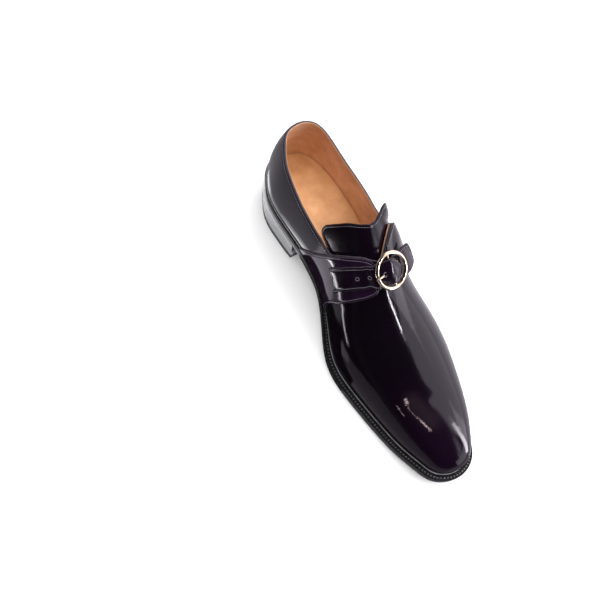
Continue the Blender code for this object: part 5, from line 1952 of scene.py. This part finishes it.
@dataclass
class Studio:
    """Pale floor, soft lights and the camera."""

    camera_place: Place = (-0.27841, -0.14119, 0.71632)
    camera_right: Place = (0.8537438, -0.4956215, 0.1596273)
    camera_up: Place = (0.4201822, 0.8368271, 0.3509520)
    camera_back: Place = (-0.3075198, -0.2325506, 0.9226873)
    lens: float = 55.15
    sensor: float = 36.0
    floor_size: float = 6.0
    layer: float = 0.0002

    def build(self) -> None:
        """Set everything up."""
        self._camera()
        self._floor()
        self._backdrop()
        self._world()
        for panel in self.panels():
            panel.build()
        for i, card in enumerate(self.cards()):
            card.build(self.layer * (i + 1))

    def panels(self) -> list[Panel]:
        """The lights."""
        pale = (0.97, 0.93, 1.0)
        return [
            Panel("top_fill", (0.0, 0.0, 1.7), (0.0, 0.0, 0.0), (2.6, 2.6), 56.0, seen=False),
            Panel("key", (0.7, -0.20, 1.3), (0.0, 0.0, 0.0), (1.3, 1.3), 9.0, seen=False),
            Panel("rear_wall", (0.0, 1.3, 0.55), (0.0, 0.0, 0.45), (1.7, 0.8), 3.4, colour=pale),
            Panel("lateral_wall", (0.62, 0.26, 0.68), (0.0, 0.26, 0.68), (1.56, 1.35), 9.0, colour=pale),
            Panel("window_strip", (0.60, -0.78, 0.74), (0.0, -0.10, 0.06), (0.024, 0.44), 3.4, turn=-0.72),
            Panel("front_wall", (0.72, -0.86, 0.30), (0.0, -0.30, 0.30), (1.10, 0.60), 3.1, colour=pale),
        ]

    def cards(self) -> list[Card]:
        """What polished surfaces mirror low down, each card a little above the one before."""
        warm, cool = (1.0, 0.98, 1.0), (0.97, 0.97, 1.0)
        return [
            # Painted reflections: dark cards stand for shade and dark surroundings round the shoe, pale ones
            # for lit floor and lamps.
            Card("dim_card", ((-3, -3), (3, -3), (3, 3), (-3, 3)), 0.42),
            Card("grey_card", ((-0.02, 0), (-0.2, 0), (-0.7, 0), (-3, -0.8), (-3, -3), (-0.02, -0.9)), 0.30),
            Card("spike_card", ((-0.104, 0.007), (-0.121, 0.001), (-0.146, -0.022), (-0.105, -0.030),
                                (-0.084, -0.014)), 0.75),
            Card("near_card", ((-0.01, -0.045), (-0.01, 0.072), (-0.068, 0.072), (-0.105, 0.006),
                               (-0.087, -0.010), (-0.080, -0.029), (-0.070, -0.046)), 0.01),
            Card("far_card", ((-0.060, 0), (-0.067, 0.042), (-0.100, 0.058), (-0.118, 0.10), (-0.70, 0.22),
                              (-3, 1), (-3, -1), (-0.564, -0.168), (-0.267, -0.092), (-0.206, -0.062),
                              (-0.159, -0.037), (-0.134, -0.013), (-0.118, 0.003), (-0.105, 0.006)), 0.01),
            Card("panel_card", ((-0.049, 0.071), (-0.055, 0.044), (-0.068, 0.036), (-0.118, 0.050),
                                (-0.098, 0.075)), 1.20),
            Card("vamp_card", ((-0.068, 0.036), (-0.080, 0.028), (-0.110, 0.024), (-0.150, 0.036),
                               (-0.118, 0.050)), 0.42),
            Card("side_card", ((0.022, -0.150), (0.12, -0.230), (0.62, -0.676), (0.62, 0.149), (0.15, 0.10),
                               (0.035, 0.08)), 1.0),
            Card("wall_foot", ((0.62, -0.60), (3, -2.8), (3, 2.8), (0.62, 1.04)), 0.0),
            Card("pale_strip", ((-0.0985, 0.0745), (-0.102, 0.069), (-0.217, -0.0075), (-0.211, 0.0025)),
                 30.0, warm),
            Card("heel_card", ((-0.010, 0.150), (-0.019, 0.168), (-0.037, 0.152), (-0.048, 0.128),
                               (-0.050, 0.105), (-0.047, 0.072), (-0.025, 0.072)), 1.3, cool),
            Card("heel_glow", ((-0.014, 0.153), (-0.018, 0.162), (-0.034, 0.147), (-0.0425, 0.125),
                               (-0.0445, 0.103), (-0.042, 0.072), (-0.037, 0.076), (-0.039, 0.101),
                               (-0.037, 0.122), (-0.029, 0.142)), 2.6, cool),
            Ribbon("toe_ribbon", ((0.050, 0.040), (0.075, 0.065), (0.096, 0.090), (0.121, 0.121),
                                  (0.126, 0.146), (0.121, 0.166)), 14.0, warm),
            Flag("toe_flag", (), 0.0),
        ]

    def _camera(self) -> None:
        """Stand the camera where the shoe is seen from above its medial side."""
        data = bpy.data.cameras.new("camera")
        data.lens, data.sensor_width = self.lens, self.sensor
        data.clip_start, data.clip_end = 0.01, 50.0
        camera = stood("camera", data)
        axes = (self.camera_right, self.camera_up, self.camera_back)
        camera.matrix_world = Matrix.Translation(self.camera_place) @ Matrix(axes).transposed().to_4x4()
        bpy.context.scene.camera = camera

    def _floor(self) -> None:
        """Lay the floor."""
        half = self.floor_size / 2
        corners = [(-half, -half, 0), (half, -half, 0), (half, half, 0), (-half, half, 0)]
        stood("floor", new_mesh("floor", corners, [(0, 1, 2, 3)], [Floor().material()]))

    def _backdrop(self) -> None:
        """Stretch a pale drum round the floor, which the leather doesn't mirror."""
        shape = bmesh.new()
        bmesh.ops.create_uvsphere(shape, u_segments=64, v_segments=32, radius=self.floor_size * 0.49)
        mesh = bpy.data.meshes.new("backdrop")
        shape.to_mesh(mesh)
        shape.free()
        cloth = Glow("backdrop_cloth", (0.97, 0.97, 0.975), (0.99, 0.99, 0.995), 1.0, (2, 2), (0.2, 0.8))
        mesh.materials.append(cloth.material())
        drum = stood("backdrop", mesh)
        drum.visible_diffuse = drum.visible_glossy = drum.visible_transmission = drum.visible_shadow = False

    def _world(self) -> None:
        """Plain soft surroundings: pale low down, dark overhead."""
        g = Graph(bpy.data.worlds.new("studio"), "Background", "Generated")
        g.link(g.ramp(g.axis("Z"), (0.0, (0.06, 0.06, 0.063)), (0.2, (0.012, 0.012, 0.013))), "Color")
        g.fixed(Strength=1.0)
        bpy.context.scene.world = g.made
        bpy.context.scene.view_settings.view_transform = "Standard"


def main() -> None:
    """Dress the shoe piece by piece and set up the studio."""
    logging.basicConfig(level=logging.INFO, format="%(name)s: %(message)s")
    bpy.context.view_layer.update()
    Studio().build()
    finishes = Finishes()
    Upper().build(finishes)
    Tongue().build(finishes)
    Tab("strap_tab", "strap_panel", STRAP_PANEL, -1).build(finishes, finishes.tab_calf)
    Tab("buckle_tab", "buckle_panel", BUCKLE_PANEL, 1).build(finishes, finishes.calf)
    Strap().build(finishes)
    Buckle().build(finishes)
    Sole().build(finishes)
    Heel().build(finishes)


if __name__ == "__main__":
    main()
